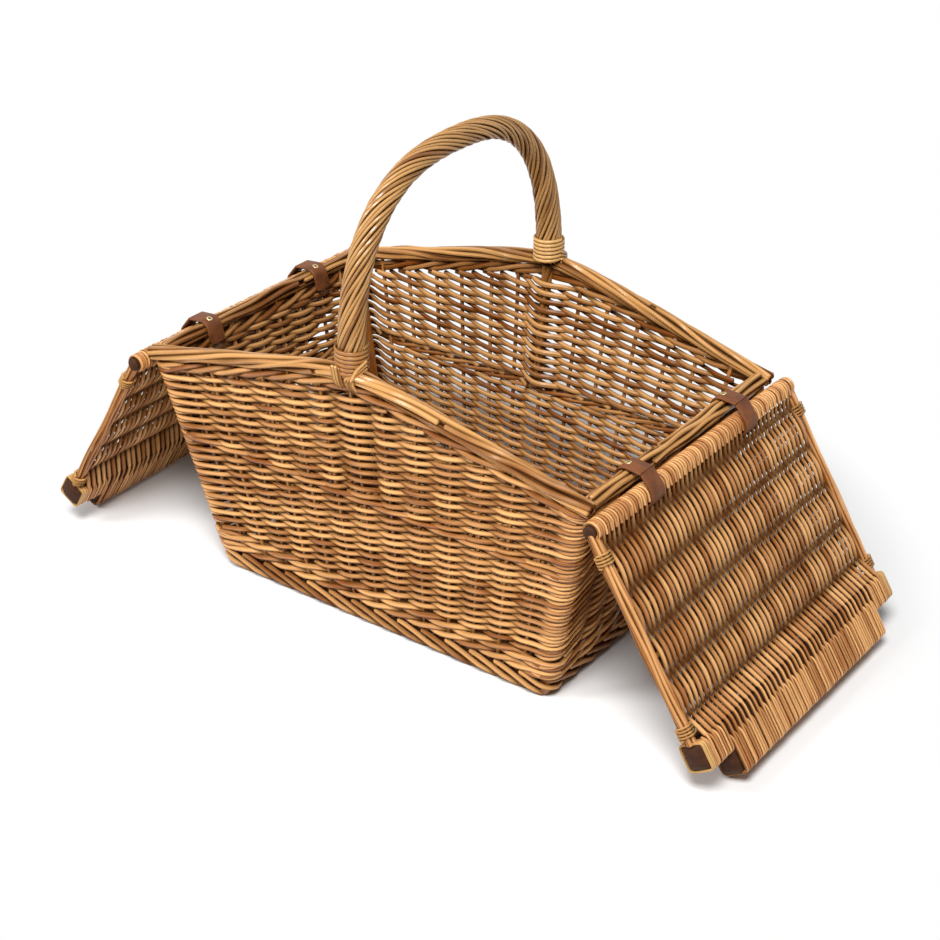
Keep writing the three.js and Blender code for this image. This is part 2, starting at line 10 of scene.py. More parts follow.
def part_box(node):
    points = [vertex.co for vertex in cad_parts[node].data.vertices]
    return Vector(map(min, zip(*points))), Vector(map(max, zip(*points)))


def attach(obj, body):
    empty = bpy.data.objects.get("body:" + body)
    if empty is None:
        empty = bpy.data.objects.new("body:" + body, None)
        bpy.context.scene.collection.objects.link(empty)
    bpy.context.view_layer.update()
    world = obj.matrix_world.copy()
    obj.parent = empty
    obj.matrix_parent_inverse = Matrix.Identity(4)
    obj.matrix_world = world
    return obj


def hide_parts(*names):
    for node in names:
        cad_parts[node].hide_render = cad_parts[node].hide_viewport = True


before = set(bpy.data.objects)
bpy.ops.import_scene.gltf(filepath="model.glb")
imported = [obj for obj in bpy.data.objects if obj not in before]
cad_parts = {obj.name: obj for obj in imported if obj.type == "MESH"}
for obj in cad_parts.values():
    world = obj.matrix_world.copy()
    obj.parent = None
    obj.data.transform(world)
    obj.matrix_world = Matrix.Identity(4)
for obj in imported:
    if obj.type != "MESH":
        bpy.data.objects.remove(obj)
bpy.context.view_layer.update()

# Base. A flat weave of thin peeled willow rods over nine straight sticks that run along the basket.
# It lies inside the foot border and carries the load.

BASE_HALF_LENGTH = 0.1790
BASE_HALF_WIDTH = 0.1140
BASE_MIDDLE = 0.008
BASE_STICK = 0.0026
BASE_STICKS = 9
BASE_STICK_INSET = 0.006
BASE_STICK_SHADE = 0.5
BASE_ROD = 0.0018
BASE_RODS = 95
BASE_ROD_SHADE = 0.8
STEPS_PER_STICK = 7
ROD_TIP = 0.35
ROD_TIP_SIZE = 0.6
ROD_SHARP_EDGE = 0.75
GRAIN_START = 20


def arc(radius, angle):
    """Points of a circle at a row of angles."""
    return radius * np.stack([np.cos(angle), np.sin(angle)], -1)


def round_section(sides):
    """A circle of radius one as a row of points."""
    return arc(1, 2 * np.pi * np.arange(sides) / sides)


def unit(rows):
    """Rows divided by their lengths."""
    return rows / np.linalg.norm(rows, axis=-1, keepdims=True)


def run_along(line):
    """Distance along a line at each of its points."""
    return np.concatenate([[0], np.cumsum(np.linalg.norm(np.diff(line, axis=0), axis=1))])


def carried_section(line, size, section, up):
    """A section carried along a line: at each point it stands square to the line, its first axis across
    both the line and up, and each axis is scaled by its size there. A smaller ring rounds off each end."""
    heading = unit(np.gradient(line, axis=0))
    tip = ROD_TIP * size[[0, -1]].min(axis=1)
    ends = np.r_[0, np.arange(len(line)), len(line) - 1]
    up = np.broadcast_to(up, line.shape)[ends]
    line = np.vstack([line[:1] - heading[:1] * tip[0], line, line[-1:] + heading[-1:] * tip[1]])
    heading = heading[ends]
    size = np.vstack([ROD_TIP_SIZE * size[:1], size, ROD_TIP_SIZE * size[-1:]])
    across = unit(np.cross(heading, up))
    over = np.cross(across, heading)
    spread = section[None] * size[:, None]
    rings = line[:, None] + spread[..., :1] * across[:, None] + spread[..., 1:] * over[:, None]
    return rings, run_along(line)


def in_scene(name, data):
    """A new object of the scene that holds the data."""
    thing = bpy.data.objects.new(name, data)
    bpy.context.scene.collection.objects.link(thing)
    return thing


def finished_piece(mesh, finish, sharp_edge, **attributes):
    """A mesh as an object of the scene: smooth but for edges over the sharp angle, with the value of each
    attribute at each point, and one finish."""
    mesh.polygons.foreach_set("use_smooth", np.ones(len(mesh.polygons), bool))
    for label, values in attributes.items():
        values = values.astype(np.float32)
        mesh.attributes.new(label, "FLOAT", "POINT").data.foreach_set("value", values)
    mesh.set_sharp_from_angle(angle=sharp_edge)
    mesh.materials.append(finish)
    return in_scene(mesh.name, mesh)


def rods_piece(name, lines, sizes, finish, section=round_section(8), ups=(0, 0, 1), seed=0, nooks=None,
               crevice=(0, 0)):
    """One mesh of many rods. Each line gets a carried section, its rings join to a tube and a flat face
    closes each end. Points keep the rod's tone and a share of painted shade, which grows along the rod with
    the nooks and round it with the fourth power of each section axis times its crevice, where neighbouring
    rods shade its sides. The UV map holds the metres along a rod and the share of the way round it."""
    chance = np.random.default_rng(seed)
    count = len(section)
    around = np.arange(count)
    beside = np.clip(section**4 @ np.array(crevice, float), 0, 1)
    places, quads, ends, uvs, tone, nook = [], [], [], [], [], []
    first = 0
    for number, line in enumerate(lines):
        size = np.asarray(sizes[number], float)
        size = np.broadcast_to(size[:, None] if size.shape == (len(line),) else size, (len(line), 2))
        up = ups[number] if isinstance(ups, list) else ups
        rings, metres = carried_section(np.asarray(line, float), size, section, up)
        rows = len(rings)
        low = first + np.arange(rows - 1)[:, None] * count + around
        high = first + np.arange(rows - 1)[:, None] * count + (around + 1) % count
        quads.append(np.stack([low, low + count, high + count, high], -1).reshape(-1, 4))
        ends.append(first + np.stack([around, (rows - 1) * count + around[::-1]]))
        metres = metres + chance.uniform(0, GRAIN_START)
        u = np.stack([metres[:-1], metres[1:], metres[1:], metres[:-1]], -1)[:, None]
        v = np.stack([around, around, around + 1, around + 1], -1)[None] / count
        uvs.append(np.stack(np.broadcast_arrays(u, v), -1).reshape(-1, 2))
        places.append(rings.reshape(-1, 3))
        tone.append(np.full(rows * count, chance.uniform()))
        deep = np.zeros((len(line), 1)) if nooks is None else nooks[number].reshape(len(line), -1)
        deep = np.vstack([deep[:1], deep, deep[-1:]])
        nook.append((1 - (1 - deep) * (1 - beside) * np.ones((rows, count))).ravel())
        first += rows * count
    places, quads, ends = np.vstack(places), np.vstack(quads), np.vstack(ends)
    mesh = bpy.data.meshes.new(name)
    mesh.vertices.add(len(places))
    mesh.vertices.foreach_set("co", places.astype(np.float32).ravel())
    mesh.loops.add(quads.size + ends.size)
    corners = np.concatenate([quads.ravel(), ends.ravel()])
    mesh.loops.foreach_set("vertex_index", corners.astype(np.int32))
    starts = np.concatenate([4 * np.arange(len(quads)), quads.size + count * np.arange(len(ends))])
    mesh.polygons.add(len(starts))
    mesh.polygons.foreach_set("loop_start", starts.astype(np.int32))
    mesh.update(calc_edges=True)
    grain = np.vstack(uvs + [np.zeros((ends.size, 2))])
    mesh.uv_layers.new(name="grain").data.foreach_set("uv", grain.astype(np.float32).ravel())
    tone, nook = np.concatenate(tone), np.concatenate(nook)
    return finished_piece(mesh, finish, ROD_SHARP_EDGE, tone=tone, nook=nook)


def add_node(tree, kind, options=None, **values):
    """A shader node with its options set and its inputs given values, or linked where the value is a socket.
    An input is named by its label, or by the letter i and its number."""
    node = tree.nodes.new(kind)
    for key, value in (options or {}).items():
        setattr(node, key, value)
    for key, value in values.items():
        numbered = key[0] == "i" and key[1:].isdigit()
        socket = node.inputs[int(key[1:])] if numbered else node.inputs[key.replace("_", " ")]
        if isinstance(value, bpy.types.NodeSocket):
            tree.links.new(value, socket)
        else:
            socket.default_value = value
    return node


def sum_of(tree, value, factor, offset, clamp=False):
    """A value times a factor plus an offset, each a number or a socket."""
    options = {"operation": "MULTIPLY_ADD", "use_clamp": clamp}
    return add_node(tree, "ShaderNodeMath", options, i0=value, i1=factor, i2=offset).outputs[0]


def colour_mix(tree, share, first, second):
    """A colour between two colours by a share."""
    return add_node(tree, "ShaderNodeMix", {"data_type": "RGBA"}, i0=share, i6=first, i7=second).outputs[2]


def noise(tree, place, scale, detail):
    """Soft noise between nought and one at a place, with finer detail added."""
    return add_node(tree, "ShaderNodeTexNoise", Vector=place, Scale=scale, Detail=detail).outputs["Fac"]


def stretched(tree, place, scale):
    """A place with each of its axes times a scale."""
    return add_node(tree, "ShaderNodeMapping", Vector=place, Scale=scale).outputs["Vector"]


def bumped(tree, height, strength, depth):
    """The surface normal, tilted by the slope of a height."""
    bump = add_node(tree, "ShaderNodeBump", Strength=strength, Distance=depth, Height=height)
    return bump.outputs["Normal"]


def new_finish(name):
    """A new material, its node tree and the inputs of its shader."""
    finish = bpy.data.materials.new(name)
    finish.use_nodes = True
    return finish, finish.node_tree, finish.node_tree.nodes["Principled BSDF"].inputs


def feed(tree, shader, **sockets):
    """Each socket linked to the shader's input of that name."""
    for label, socket in sockets.items():
        tree.links.new(socket, shader[label.replace("_", " ")])


STREAK_STRETCH = (16, 5, 1)
FIBRE_STRETCH = (70, 22, 1)
BLOTCH_SCALE = 28.0
PALE_START = -1.02
PALE_BY_STREAK = 1.3
PALE_BY_BLOTCH = 0.9
PALE_BY_TONE = 1.10
ROUGH_START = 0.22
ROUGH_BY_STREAK = 0.20
ROUGH_BY_NOOK = 0.45
VARNISH = 0.9
VARNISH_BY_NOOK = -2.2
VARNISH_ROUGHNESS = 0.24
WILLOW_GLOSS = 0.06
NOOK_SHARE = 0.97
# Colour of the painted shade in the nooks of the weave.
NOOK_SHADE_COLOUR = (0.026, 0.0048, 0.0005, 1)


def willow_skin_group():
    """Colour, roughness, varnish and height of stained willow. The rod's tone sets a colour between deep and
    pale, long streaks run along the rod and blotches cross from rod to rod. In the nooks of the weave the
    colour turns to the shade colour, a painted shade, and the varnish's reflection gives way to a rough
    surface."""
    tree = bpy.data.node_groups.new("willow_skin", "ShaderNodeTree")
    for label, kind in (("Pale", "Color"), ("Deep", "Color"), ("Stain", "Color"), ("Nook", "Float")):
        tree.interface.new_socket(label, in_out="INPUT", socket_type=f"NodeSocket{kind}")
    for label, kind in (("Color", "Color"), ("Roughness", "Float"), ("Coat", "Float"), ("Height", "Float")):
        tree.interface.new_socket(label, in_out="OUTPUT", socket_type=f"NodeSocket{kind}")
    given = tree.nodes.new("NodeGroupInput").outputs
    result = tree.nodes.new("NodeGroupOutput").inputs
    tone = add_node(tree, "ShaderNodeAttribute", {"attribute_name": "tone"}).outputs["Fac"]
    nook = add_node(tree, "ShaderNodeAttribute", {"attribute_name": "nook"}).outputs["Fac"]
    grain = add_node(tree, "ShaderNodeUVMap", {"uv_map": "grain"}).outputs["UV"]
    place = add_node(tree, "ShaderNodeTexCoord").outputs["Object"]
    streak = noise(tree, stretched(tree, grain, STREAK_STRETCH), scale=1.0, detail=3.0)
    blotch = noise(tree, place, scale=BLOTCH_SCALE, detail=2.0)
    share = sum_of(tree, streak, PALE_BY_STREAK, PALE_START)
    share = sum_of(tree, blotch, PALE_BY_BLOTCH, share)
    share = sum_of(tree, tone, PALE_BY_TONE, share, clamp=True)
    body = colour_mix(tree, share, given["Deep"], given["Pale"])
    # Share of painted shade at each point: it darkens the colour and takes away the varnish's reflection.
    depth = sum_of(tree, nook, given["Nook"], 0.0, clamp=True)
    rough = sum_of(tree, streak, ROUGH_BY_STREAK, ROUGH_START)
    feed(tree, result, Color=colour_mix(tree, depth, body, given["Stain"]),
         Roughness=sum_of(tree, depth, ROUGH_BY_NOOK, rough, clamp=True),
         Coat=sum_of(tree, depth, VARNISH_BY_NOOK, VARNISH, clamp=True),
         Height=noise(tree, stretched(tree, grain, FIBRE_STRETCH), scale=1.0, detail=2.0))
    return tree


willow_skin = willow_skin_group()


def willow_finish(name, pale, deep):
    """Willow between two colours under a thin varnish, with painted shade in the nooks of the weave."""
    finish, tree, shader = new_finish(name)
    shader["Specular IOR Level"].default_value = WILLOW_GLOSS
    shader["Coat Roughness"].default_value = VARNISH_ROUGHNESS
    skin = add_node(tree, "ShaderNodeGroup", {"node_tree": willow_skin}, Nook=NOOK_SHARE,
                    Pale=(*pale, 1), Deep=(*deep, 1), Stain=NOOK_SHADE_COLOUR).outputs
    feed(tree, shader, Base_Color=skin["Color"], Roughness=skin["Roughness"], Coat_Weight=skin["Coat"],
         Normal=bumped(tree, skin["Height"], strength=0.25, depth=0.0006))
    return finish


def dress(piece, body, slot, *nodes):
    """The piece moves with a body and stands for the named solids. The slot is not used."""
    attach(piece, body)
    if nodes:
        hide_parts(*nodes)


wall_willow = willow_finish("wall_willow", pale=(0.66, 0.335, 0.115), deep=(0.21, 0.060, 0.007))
stick_reach = BASE_HALF_WIDTH - BASE_STICK_INSET
stick_y = np.linspace(-stick_reach, stick_reach, BASE_STICKS)
rod_x = np.linspace(-BASE_HALF_LENGTH, BASE_HALF_LENGTH, BASE_RODS)
over_y = np.linspace(-BASE_HALF_WIDTH, BASE_HALF_WIDTH, BASE_STICKS * STEPS_PER_STICK)
swing = np.cos(np.pi * (over_y - stick_y[0]) / (stick_y[1] - stick_y[0]))
# Painted shade: each rod darkens where it passes between the sticks, and the sticks under the rods are half
# in painted shade.
lines, nooks = [], []
for i, x in enumerate(rod_x):
    rod_z = BASE_MIDDLE + (-1) ** i * (BASE_STICK + BASE_ROD) * swing
    lines.append(np.stack([np.full_like(over_y, x), over_y, rod_z], 1))
    nooks.append(BASE_ROD_SHADE * (1 - np.abs(swing)))
for y in stick_y:
    lines.append(np.array([[-BASE_HALF_LENGTH, y, BASE_MIDDLE], [BASE_HALF_LENGTH, y, BASE_MIDDLE]]))
    nooks.append(np.full(2, BASE_STICK_SHADE))
sizes = [BASE_ROD] * BASE_RODS + [BASE_STICK] * BASE_STICKS
base_weave = rods_piece("base_weave", lines, sizes, wall_willow, round_section(6), seed=11, nooks=nooks)
dress(base_weave, "basket", "willow", "base")

# Foot border. The lower ends of the willow stakes are turned down and laid over one another round the foot,
# each slanting down across the next and tucked inside, so that the basket stands on a row of slanted rods.
# Two thicker rods run round inside them. Slants and tucks are measured in bays.

FOOT_HALF_LENGTH = 0.181
FOOT_HALF_WIDTH = 0.116
RIM_HALF_LENGTH = 0.2325
RIM_HALF_WIDTH = 0.1415
END_RIM = 0.2185
LONG_BAYS = 14
END_BAYS = 9
ROUND_BAYS = 2 * (LONG_BAYS + END_BAYS)
CORNER_BAYS = (0, LONG_BAYS, LONG_BAYS + END_BAYS, 2 * LONG_BAYS + END_BAYS)
CORNER_SIGNS = ((-1, -1), (1, -1), (1, 1), (-1, 1))
CORNER_SPAN = 0.34
NORMAL_STEP = 0.02
FOOT_ROD = 0.0022
FOOT_SLANT = 1.9
FOOT_TAIL = 0.6
SLANT_TOP = 0.0215
SLANT_DROP = 0.0187
SLANT_BEND = 1.15
SLANT_OUT = 0.0044
TUCK_EARLY = 0.5
TUCK_LENGTH = 1.1
TUCK_DEPTH = 0.0085
TUCK_SHADE_OUT = 0.0035
TUCK_SHADE_DEPTH = 0.0045
SLANT_SHADE = 0.2
FOOT_RING_HEIGHTS = (0.0040, 0.0105)
FOOT_RING_OUTS = (-0.0012, -0.0020)
FOOT_RING_RODS = (0.0036, 0.0040)
FOOT_RING_SHADE = 0.75


def side_of_wall(z):
    """Half width of the basket at a height."""
    return FOOT_HALF_WIDTH + (RIM_HALF_WIDTH - FOOT_HALF_WIDTH) * z / END_RIM


def wall_place(s, z):
    """Middle of the wall at stake count s round the basket, from the front left corner, and height z.
    Straight runs join four corners that move outwards with height, and a parabola rounds each corner."""
    s = np.asarray(s, float) % ROUND_BAYS
    z = np.broadcast_to(np.asarray(z, float), s.shape)
    half_x = FOOT_HALF_LENGTH + (RIM_HALF_LENGTH - FOOT_HALF_LENGTH) * z / END_RIM
    half_y = side_of_wall(z)
    signs = np.array(CORNER_SIGNS, float)
    marks = np.array([*CORNER_BAYS, ROUND_BAYS], float)

    def corner(k):
        """Corner number k: its signs times the half sizes at this height."""
        return signs[k % 4] * np.stack([half_x, half_y], -1)

    def straight(t):
        """Place at stake count t on the straight run between two corners, by its share of the run."""
        run = np.clip(np.searchsorted(marks, t % ROUND_BAYS, side="right") - 1, 0, 3)
        part = ((t % ROUND_BAYS) - marks[run]) / (marks[run + 1] - marks[run])
        return corner(run) + (corner(run + 1) - corner(run)) * part[..., None]

    nearest = np.abs(s[..., None] - marks).argmin(-1)
    gap = s - marks[nearest]
    share = np.clip((gap + CORNER_SPAN) / (2 * CORNER_SPAN), 0, 1)[..., None]
    before = straight(marks[nearest] - CORNER_SPAN)
    after = straight(marks[nearest] + CORNER_SPAN)
    bent = (1 - share) ** 2 * before + 2 * share * (1 - share) * corner(nearest) + share**2 * after
    place = np.where((np.abs(gap) < CORNER_SPAN)[..., None], bent, straight(s))
    return np.concatenate([place, z[..., None]], -1)


def wall_line(s, z, out):
    """A line on the wall, moved out from its middle along the level normal."""
    ahead = unit(wall_place(s + NORMAL_STEP, z)[..., :2] - wall_place(s - NORMAL_STEP, z)[..., :2])
    place = wall_place(s, z)
    place[..., 0] += ahead[..., 1] * out
    place[..., 1] -= ahead[..., 0] * out
    return place


slant = np.linspace(0, FOOT_SLANT + FOOT_TAIL, 26)
slant_z = SLANT_TOP - SLANT_DROP * np.clip(slant / FOOT_SLANT, 0, 1) ** SLANT_BEND
slant_out = SLANT_OUT - TUCK_DEPTH * np.clip((slant - FOOT_SLANT + TUCK_EARLY) / TUCK_LENGTH, 0, 1)
# Painted shade where each slanted rod tucks in behind the next.
slant_nook = np.clip((TUCK_SHADE_OUT - slant_out) / TUCK_SHADE_DEPTH, SLANT_SHADE, 1)
lines = [wall_line(k + slant, slant_z, slant_out) for k in range(ROUND_BAYS)]
nooks = [slant_nook] * ROUND_BAYS
round_s = np.linspace(0, ROUND_BAYS, 400)
lines += [wall_line(round_s, z, out) for z, out in zip(FOOT_RING_HEIGHTS, FOOT_RING_OUTS)]
# The two rods that run round inside the slanted ones are painted mostly in shade.
nooks += [np.full(len(round_s), FOOT_RING_SHADE)] * len(FOOT_RING_RODS)
sizes = [FOOT_ROD] * ROUND_BAYS + list(FOOT_RING_RODS)
foot_border = rods_piece("foot_border_rods", lines, sizes, wall_willow, round_section(7), seed=12,
                         nooks=nooks, crevice=(0, 0.5))
dress(foot_border, "basket", "willow", "foot_border")

# Stakes and corner posts. Straight willow sticks stand in the foot border and carry the weave,
# thirteen along each side, eight across each end and a thicker post in each corner.

STAKE = 0.0020
STAKE_FOOT = 0.004
STAKE_TOP = 0.002
STAKE_LEAN = 0.06
STAKE_POINTS = 12
POST = 0.0050
POST_OUT = -0.002
RIM_RISE = 0.050
CROWN = 0.028


def arch_height(x):
    """Height of the rim's middle along a side: a hyperbola, two slopes that meet in a rounded crown."""
    share = (np.hypot(x, CROWN) - CROWN) / (np.hypot(RIM_HALF_LENGTH, CROWN) - CROWN)
    return END_RIM + RIM_RISE * (1 - share)


def rim_height(s):
    """Height of the rim's middle at stake count s: arched along the sides and level across the ends."""
    along = (s % ROUND_BAYS) % (LONG_BAYS + END_BAYS) <= LONG_BAYS
    return np.where(along, arch_height(wall_place(s, END_RIM)[..., 0]), END_RIM)


chance = np.random.default_rng(5)
stake_willow = willow_finish("stake_willow", pale=(0.46, 0.20, 0.052), deep=(0.16, 0.045, 0.006))
up_share = np.linspace(0, 1, STAKE_POINTS)
lines, sizes = [], []
for k in range(ROUND_BAYS):
    at_corner = k in CORNER_BAYS
    up_z = np.linspace(STAKE_FOOT, float(rim_height(np.array(float(k)))) - STAKE_TOP, STAKE_POINTS)
    lean = 0 if at_corner else chance.uniform(-STAKE_LEAN, STAKE_LEAN)
    lines.append(wall_line(k + lean * up_share, up_z, POST_OUT if at_corner else 0))
    sizes.append(POST if at_corner else STAKE)
stakes = rods_piece("stakes", lines, sizes, stake_willow, round_section(7), ups=(0.3, 0.9, 0), seed=13)
dress(stakes, "basket", "willow", "post_front_left", "post_front_right", "post_back_left", "post_back_right")

# Woven walls. Each willow rod passes in front of one stake and behind the next while it climbs half a pitch,
# so the front strokes stand in columns. Every rod goes outside the corner posts, and rows of three twisted
# rods close the weave at the foot, half way up and under the rim.

ROD = 0.0021
ROD_SPREAD = (0.92, 1.10)
ROD_END = 0.6
CLIMB = 0.0041
TILT = 0.0006
DRIFT = 0.0005
DRIFT_WAVES = (0.8, 1.6)
PHASE = 6
OUT = 0.0028
CORNER_OUT = 0.0050
LEG_OUT = 0.0080
INSIDE_TALL = 0.30
SAMPLES = 8
WEAVE_SECTION = round_section(7)
CROSSING_SHADE = 0.50
FACING_START = 0.15
UNDER_SHADE = 0.75
INSIDE_SHADE = 0.32
WALE_SAMPLES = 10
WALE_CORNER = 1.4
WALE_STRAY = 0.2
WALE_LEAN = 0.15
WALE_BOW = 1.6
WALE_SHADE = 0.8
FOOT_WALE_HEIGHT = 0.0275
FOOT_WALE_PITCH = 0.0110
FOOT_WALE_ROWS = 2
LOWER_START = 0.0485
LOWER_TOP = 0.1362
LOWER_BAYS = 22
MIDDLE_WALE_HEIGHT = 0.1405
UPPER_START = 0.1455
UPPER_GAP = 0.0100
UPPER_BAYS = 29
RIM_WALE_GAP = 0.0050
BORDER = 0.0075
HANDLE_BAYS = (LONG_BAYS // 2, LONG_BAYS + END_BAYS + LONG_BAYS // 2)


def stake_side(stake, number, leg_out):
    """Distance out of the wall at which a rod passes a stake: outside every second one and every corner post,
    inside the others, and further inside round a leg of the handle."""
    stake = stake % ROUND_BAYS
    inside = np.where(np.isin(stake, HANDLE_BAYS), -OUT - leg_out, -OUT)
    return np.where(np.isin(stake, CORNER_BAYS), CORNER_OUT, np.where(number % 2 == 0, OUT, inside))


def painted_weave_shade(out):
    """Painted shade at each point round a rod: partly where the rod crosses the middle of the wall, and the
    more it bows to one side, the darker on the side that faces the middle. Its underside, shaded from the
    light above, and its strokes inside the basket, which lie in shade, get painted shade too."""
    bow_out = np.clip(np.abs(out) / OUT, 0, 1)[:, None]
    crossing = CROSSING_SHADE * (1 - bow_out) ** 2
    facing = bow_out * np.clip(FACING_START - np.sign(out)[:, None] * WEAVE_SECTION[:, 0], 0, 1)
    under = UNDER_SHADE * np.clip(-WEAVE_SECTION[:, 1], 0, 1)
    inside = INSIDE_SHADE * np.clip(-out / OUT, 0, 1)[:, None]
    return 1 - (1 - crossing) * (1 - facing) * (1 - under) * (1 - inside)


def randing(start_z, top_at, climb_bays, leg_out, seed):
    """Lines of rods that start one at each stake. Rod j passes stake j + m at the start height plus m climbs,
    with a sine tilt that lifts its front strokes and a cosine step from the side it takes at one stake to the
    side at the next. Only the parts under the top line are kept. A rod is tallest inside the stakes, where
    it is pressed flat."""
    chance = np.random.default_rng(seed)
    lines, sizes, nooks = [], [], []
    m = np.arange(-ROD_END, climb_bays + ROD_END, 1 / SAMPLES)
    for j in range(ROUND_BAYS):
        s = j + m
        drift = DRIFT * np.sin(s * chance.uniform(*DRIFT_WAVES) + chance.uniform(0, PHASE))
        z = start_z + m * CLIMB + TILT * np.sin(np.pi * m) + drift
        below = np.floor(s).astype(int)
        near = stake_side(below, below - j, leg_out)
        far = stake_side(below + 1, below + 1 - j, leg_out)
        out = near + (far - near) * (0.5 - 0.5 * np.cos(np.pi * (s - below)))
        edges = np.flatnonzero(np.diff(np.concatenate([[0], z < top_at(s), [0]])))
        line = wall_line(s, z, out)
        tall = 1 + INSIDE_TALL * np.clip(-out / OUT, 0, 1)
        size = ROD * chance.uniform(*ROD_SPREAD) * np.stack([np.ones_like(tall), tall], 1)
        nook = painted_weave_shade(out)
        for a, b in zip(edges[::2], edges[1::2]):
            if b - a > SAMPLES:
                lines.append(line[a:b])
                sizes.append(size[a:b])
                nooks.append(nook[a:b])
    return lines, sizes, nooks


def waling(middle_at, height, rod, out, seed):
    """Lines of three rods that twist round the stakes: each swings out, up, in and down once every three
    stakes, a third of a turn after the one before, and stays outside at the corner posts."""
    chance = np.random.default_rng(seed)
    s = np.linspace(0, ROUND_BAYS, ROUND_BAYS * WALE_SAMPLES + 1)
    from_corner = np.abs(s[:, None] - np.array([*CORNER_BAYS, ROUND_BAYS])).min(1)
    corner = np.clip(WALE_CORNER - from_corner, 0, 1)
    lines, nooks = [], []
    for i in range(3):
        lay = 2 * np.pi * (s + i) / 3 + chance.uniform(-WALE_STRAY, WALE_STRAY)
        swing = out * (WALE_LEAN + np.cos(lay))
        swing = swing * (1 - corner) + np.maximum(swing, CORNER_OUT) * corner
        lines.append(wall_line(s, middle_at(s) + height * np.sin(lay), swing))
        nooks.append(WALE_SHADE * painted_weave_shade(WALE_BOW * swing))
    return lines, [rod] * 3, nooks


def level(z):
    """The same height all round, as a function of the stake count."""
    return lambda s: z + 0 * s


def below_border(gap):
    """The height at a gap under the rim border, as a function of the stake count."""
    return lambda s: rim_height(s) - BORDER - gap


def wall_piece(name, weave, *nodes, seed, crevice=(0, 0)):
    """Lines, sizes and nooks of a weave as one piece of the basket, which stands for the named solids."""
    lines, sizes, nooks = weave
    piece = rods_piece(name, lines, sizes, wall_willow, WEAVE_SECTION, seed=seed, nooks=nooks,
                       crevice=crevice)
    dress(piece, "basket", "willow", *nodes)


foot_wale = [[], [], []]
for row in range(FOOT_WALE_ROWS):
    row_height = FOOT_WALE_HEIGHT + FOOT_WALE_PITCH * row
    row_wale = waling(level(row_height), height=0.0030, rod=0.0025, out=0.0036, seed=20 + row)
    foot_wale = [before + added for before, added in zip(foot_wale, row_wale)]
wall_piece("foot_waling", foot_wale, seed=21, crevice=(0, 0.4))
weave = randing(LOWER_START, level(LOWER_TOP), LOWER_BAYS, leg_out=0, seed=22)
wall_piece("lower_weave", weave, "wall_front", "wall_back", "wall_left", "wall_right", seed=23)
wale = waling(level(MIDDLE_WALE_HEIGHT), height=0.0022, rod=0.0020, out=0.0036, seed=24)
wall_piece("middle_wale", wale, seed=25)
weave = randing(UPPER_START, below_border(UPPER_GAP), UPPER_BAYS, leg_out=LEG_OUT, seed=26)
wall_piece("upper_weave", weave, seed=27)
wale = waling(below_border(RIM_WALE_GAP), height=0.0028, rod=0.0025, out=0.0040, seed=28)
wall_piece("rim_wale", wale, seed=29, crevice=(0, 0.4))

# Rim borders. Bundles of peeled willow rods lie along the top of the walls: a slow loose twist up over the
# arch of each side, and nearly straight rods side by side across each end, butted against the side bundles.
# Each bundle has a thicker core, and every second rod is pieced out of two.

BORDER_ROD = 0.0027
BORDER_REACH = 0.0047
SWAY_WAVES = (0.7, 1.4)
SWAY_SECOND = 0.6
SIDE_BORDER_RODS = 7
SIDE_BORDER_LAY = 0.42
SIDE_BORDER_END = 0.2385
SIDE_BUNDLE = {"core": 0.0032, "lay": (0.22, 0.20), "reach": (0.0004, 0.15), "cut": (0.15, 0.85),
               "spread": (0.86, 1.08)}
END_BORDER_RODS = 6
END_BORDER_TURN = 0.25
END_BORDER_GAP = 0.0005
END_CORE_DROP = 0.002
END_BUNDLE = {"core": 0.0030, "lay": (0.20, 0.16), "reach": (0.0005, 0.12), "cut": (0.2, 0.8),
              "spread": (0.80, 1.00)}

border_willow = willow_finish("border_willow", pale=(0.58, 0.290, 0.090), deep=(0.19, 0.060, 0.009))


def sway(chance, run, amount, length):
    """A slow drift along a rod: two sine waves of chance length and phase, added."""
    first, second = 2 * np.pi / length * chance.uniform(*SWAY_WAVES, 2)
    slow = np.sin(run * first + chance.uniform(0, PHASE))
    return amount * (slow + SWAY_SECOND * np.sin(2 * run * second + chance.uniform(0, PHASE)))


def broken(rows, cut):
    """Rows along a rod cut in two at a share of its length: one rod ends there and the next begins."""
    at = int(cut * len(rows))
    return [rows[:at], rows[at + 1:]]


def border_piece(side, core, middle, run, up, out, lays, bundle, chance_seed, seed):
    """A core and rods laid round a middle line. Each rod stands off the line by the reach, turned from out to
    up by its lay, and both sway along the run."""
    chance = np.random.default_rng(chance_seed)
    lines, ups = [core], [np.broadcast_to(up, core.shape)]
    for i, lay in enumerate(lays):
        lay = lay + sway(chance, run, *bundle["lay"])
        reach = BORDER_REACH + sway(chance, run, *bundle["reach"])
        radial = np.sin(lay)[:, None] * up + np.cos(lay)[:, None] * out
        rod = middle + reach[:, None] * radial
        cut = chance.uniform(*bundle["cut"])
        lines += broken(rod, cut) if i % 2 == 0 else [rod]
        ups += broken(radial, cut) if i % 2 == 0 else [radial]
    sizes = [bundle["core"]] + [BORDER_ROD * chance.uniform(*bundle["spread"]) for _ in lines[1:]]
    # Painted shade: the core, inside its bundle, is painted wholly in shade.
    nooks = [np.ones(len(core))] + [np.zeros(len(line)) for line in lines[1:]]
    border = rods_piece(f"border_{side}_rods", lines, sizes, border_willow, ups=ups, seed=seed, nooks=nooks,
                        crevice=(0.95, 0))
    dress(border, "basket", "pale_willow", f"border_{side}")


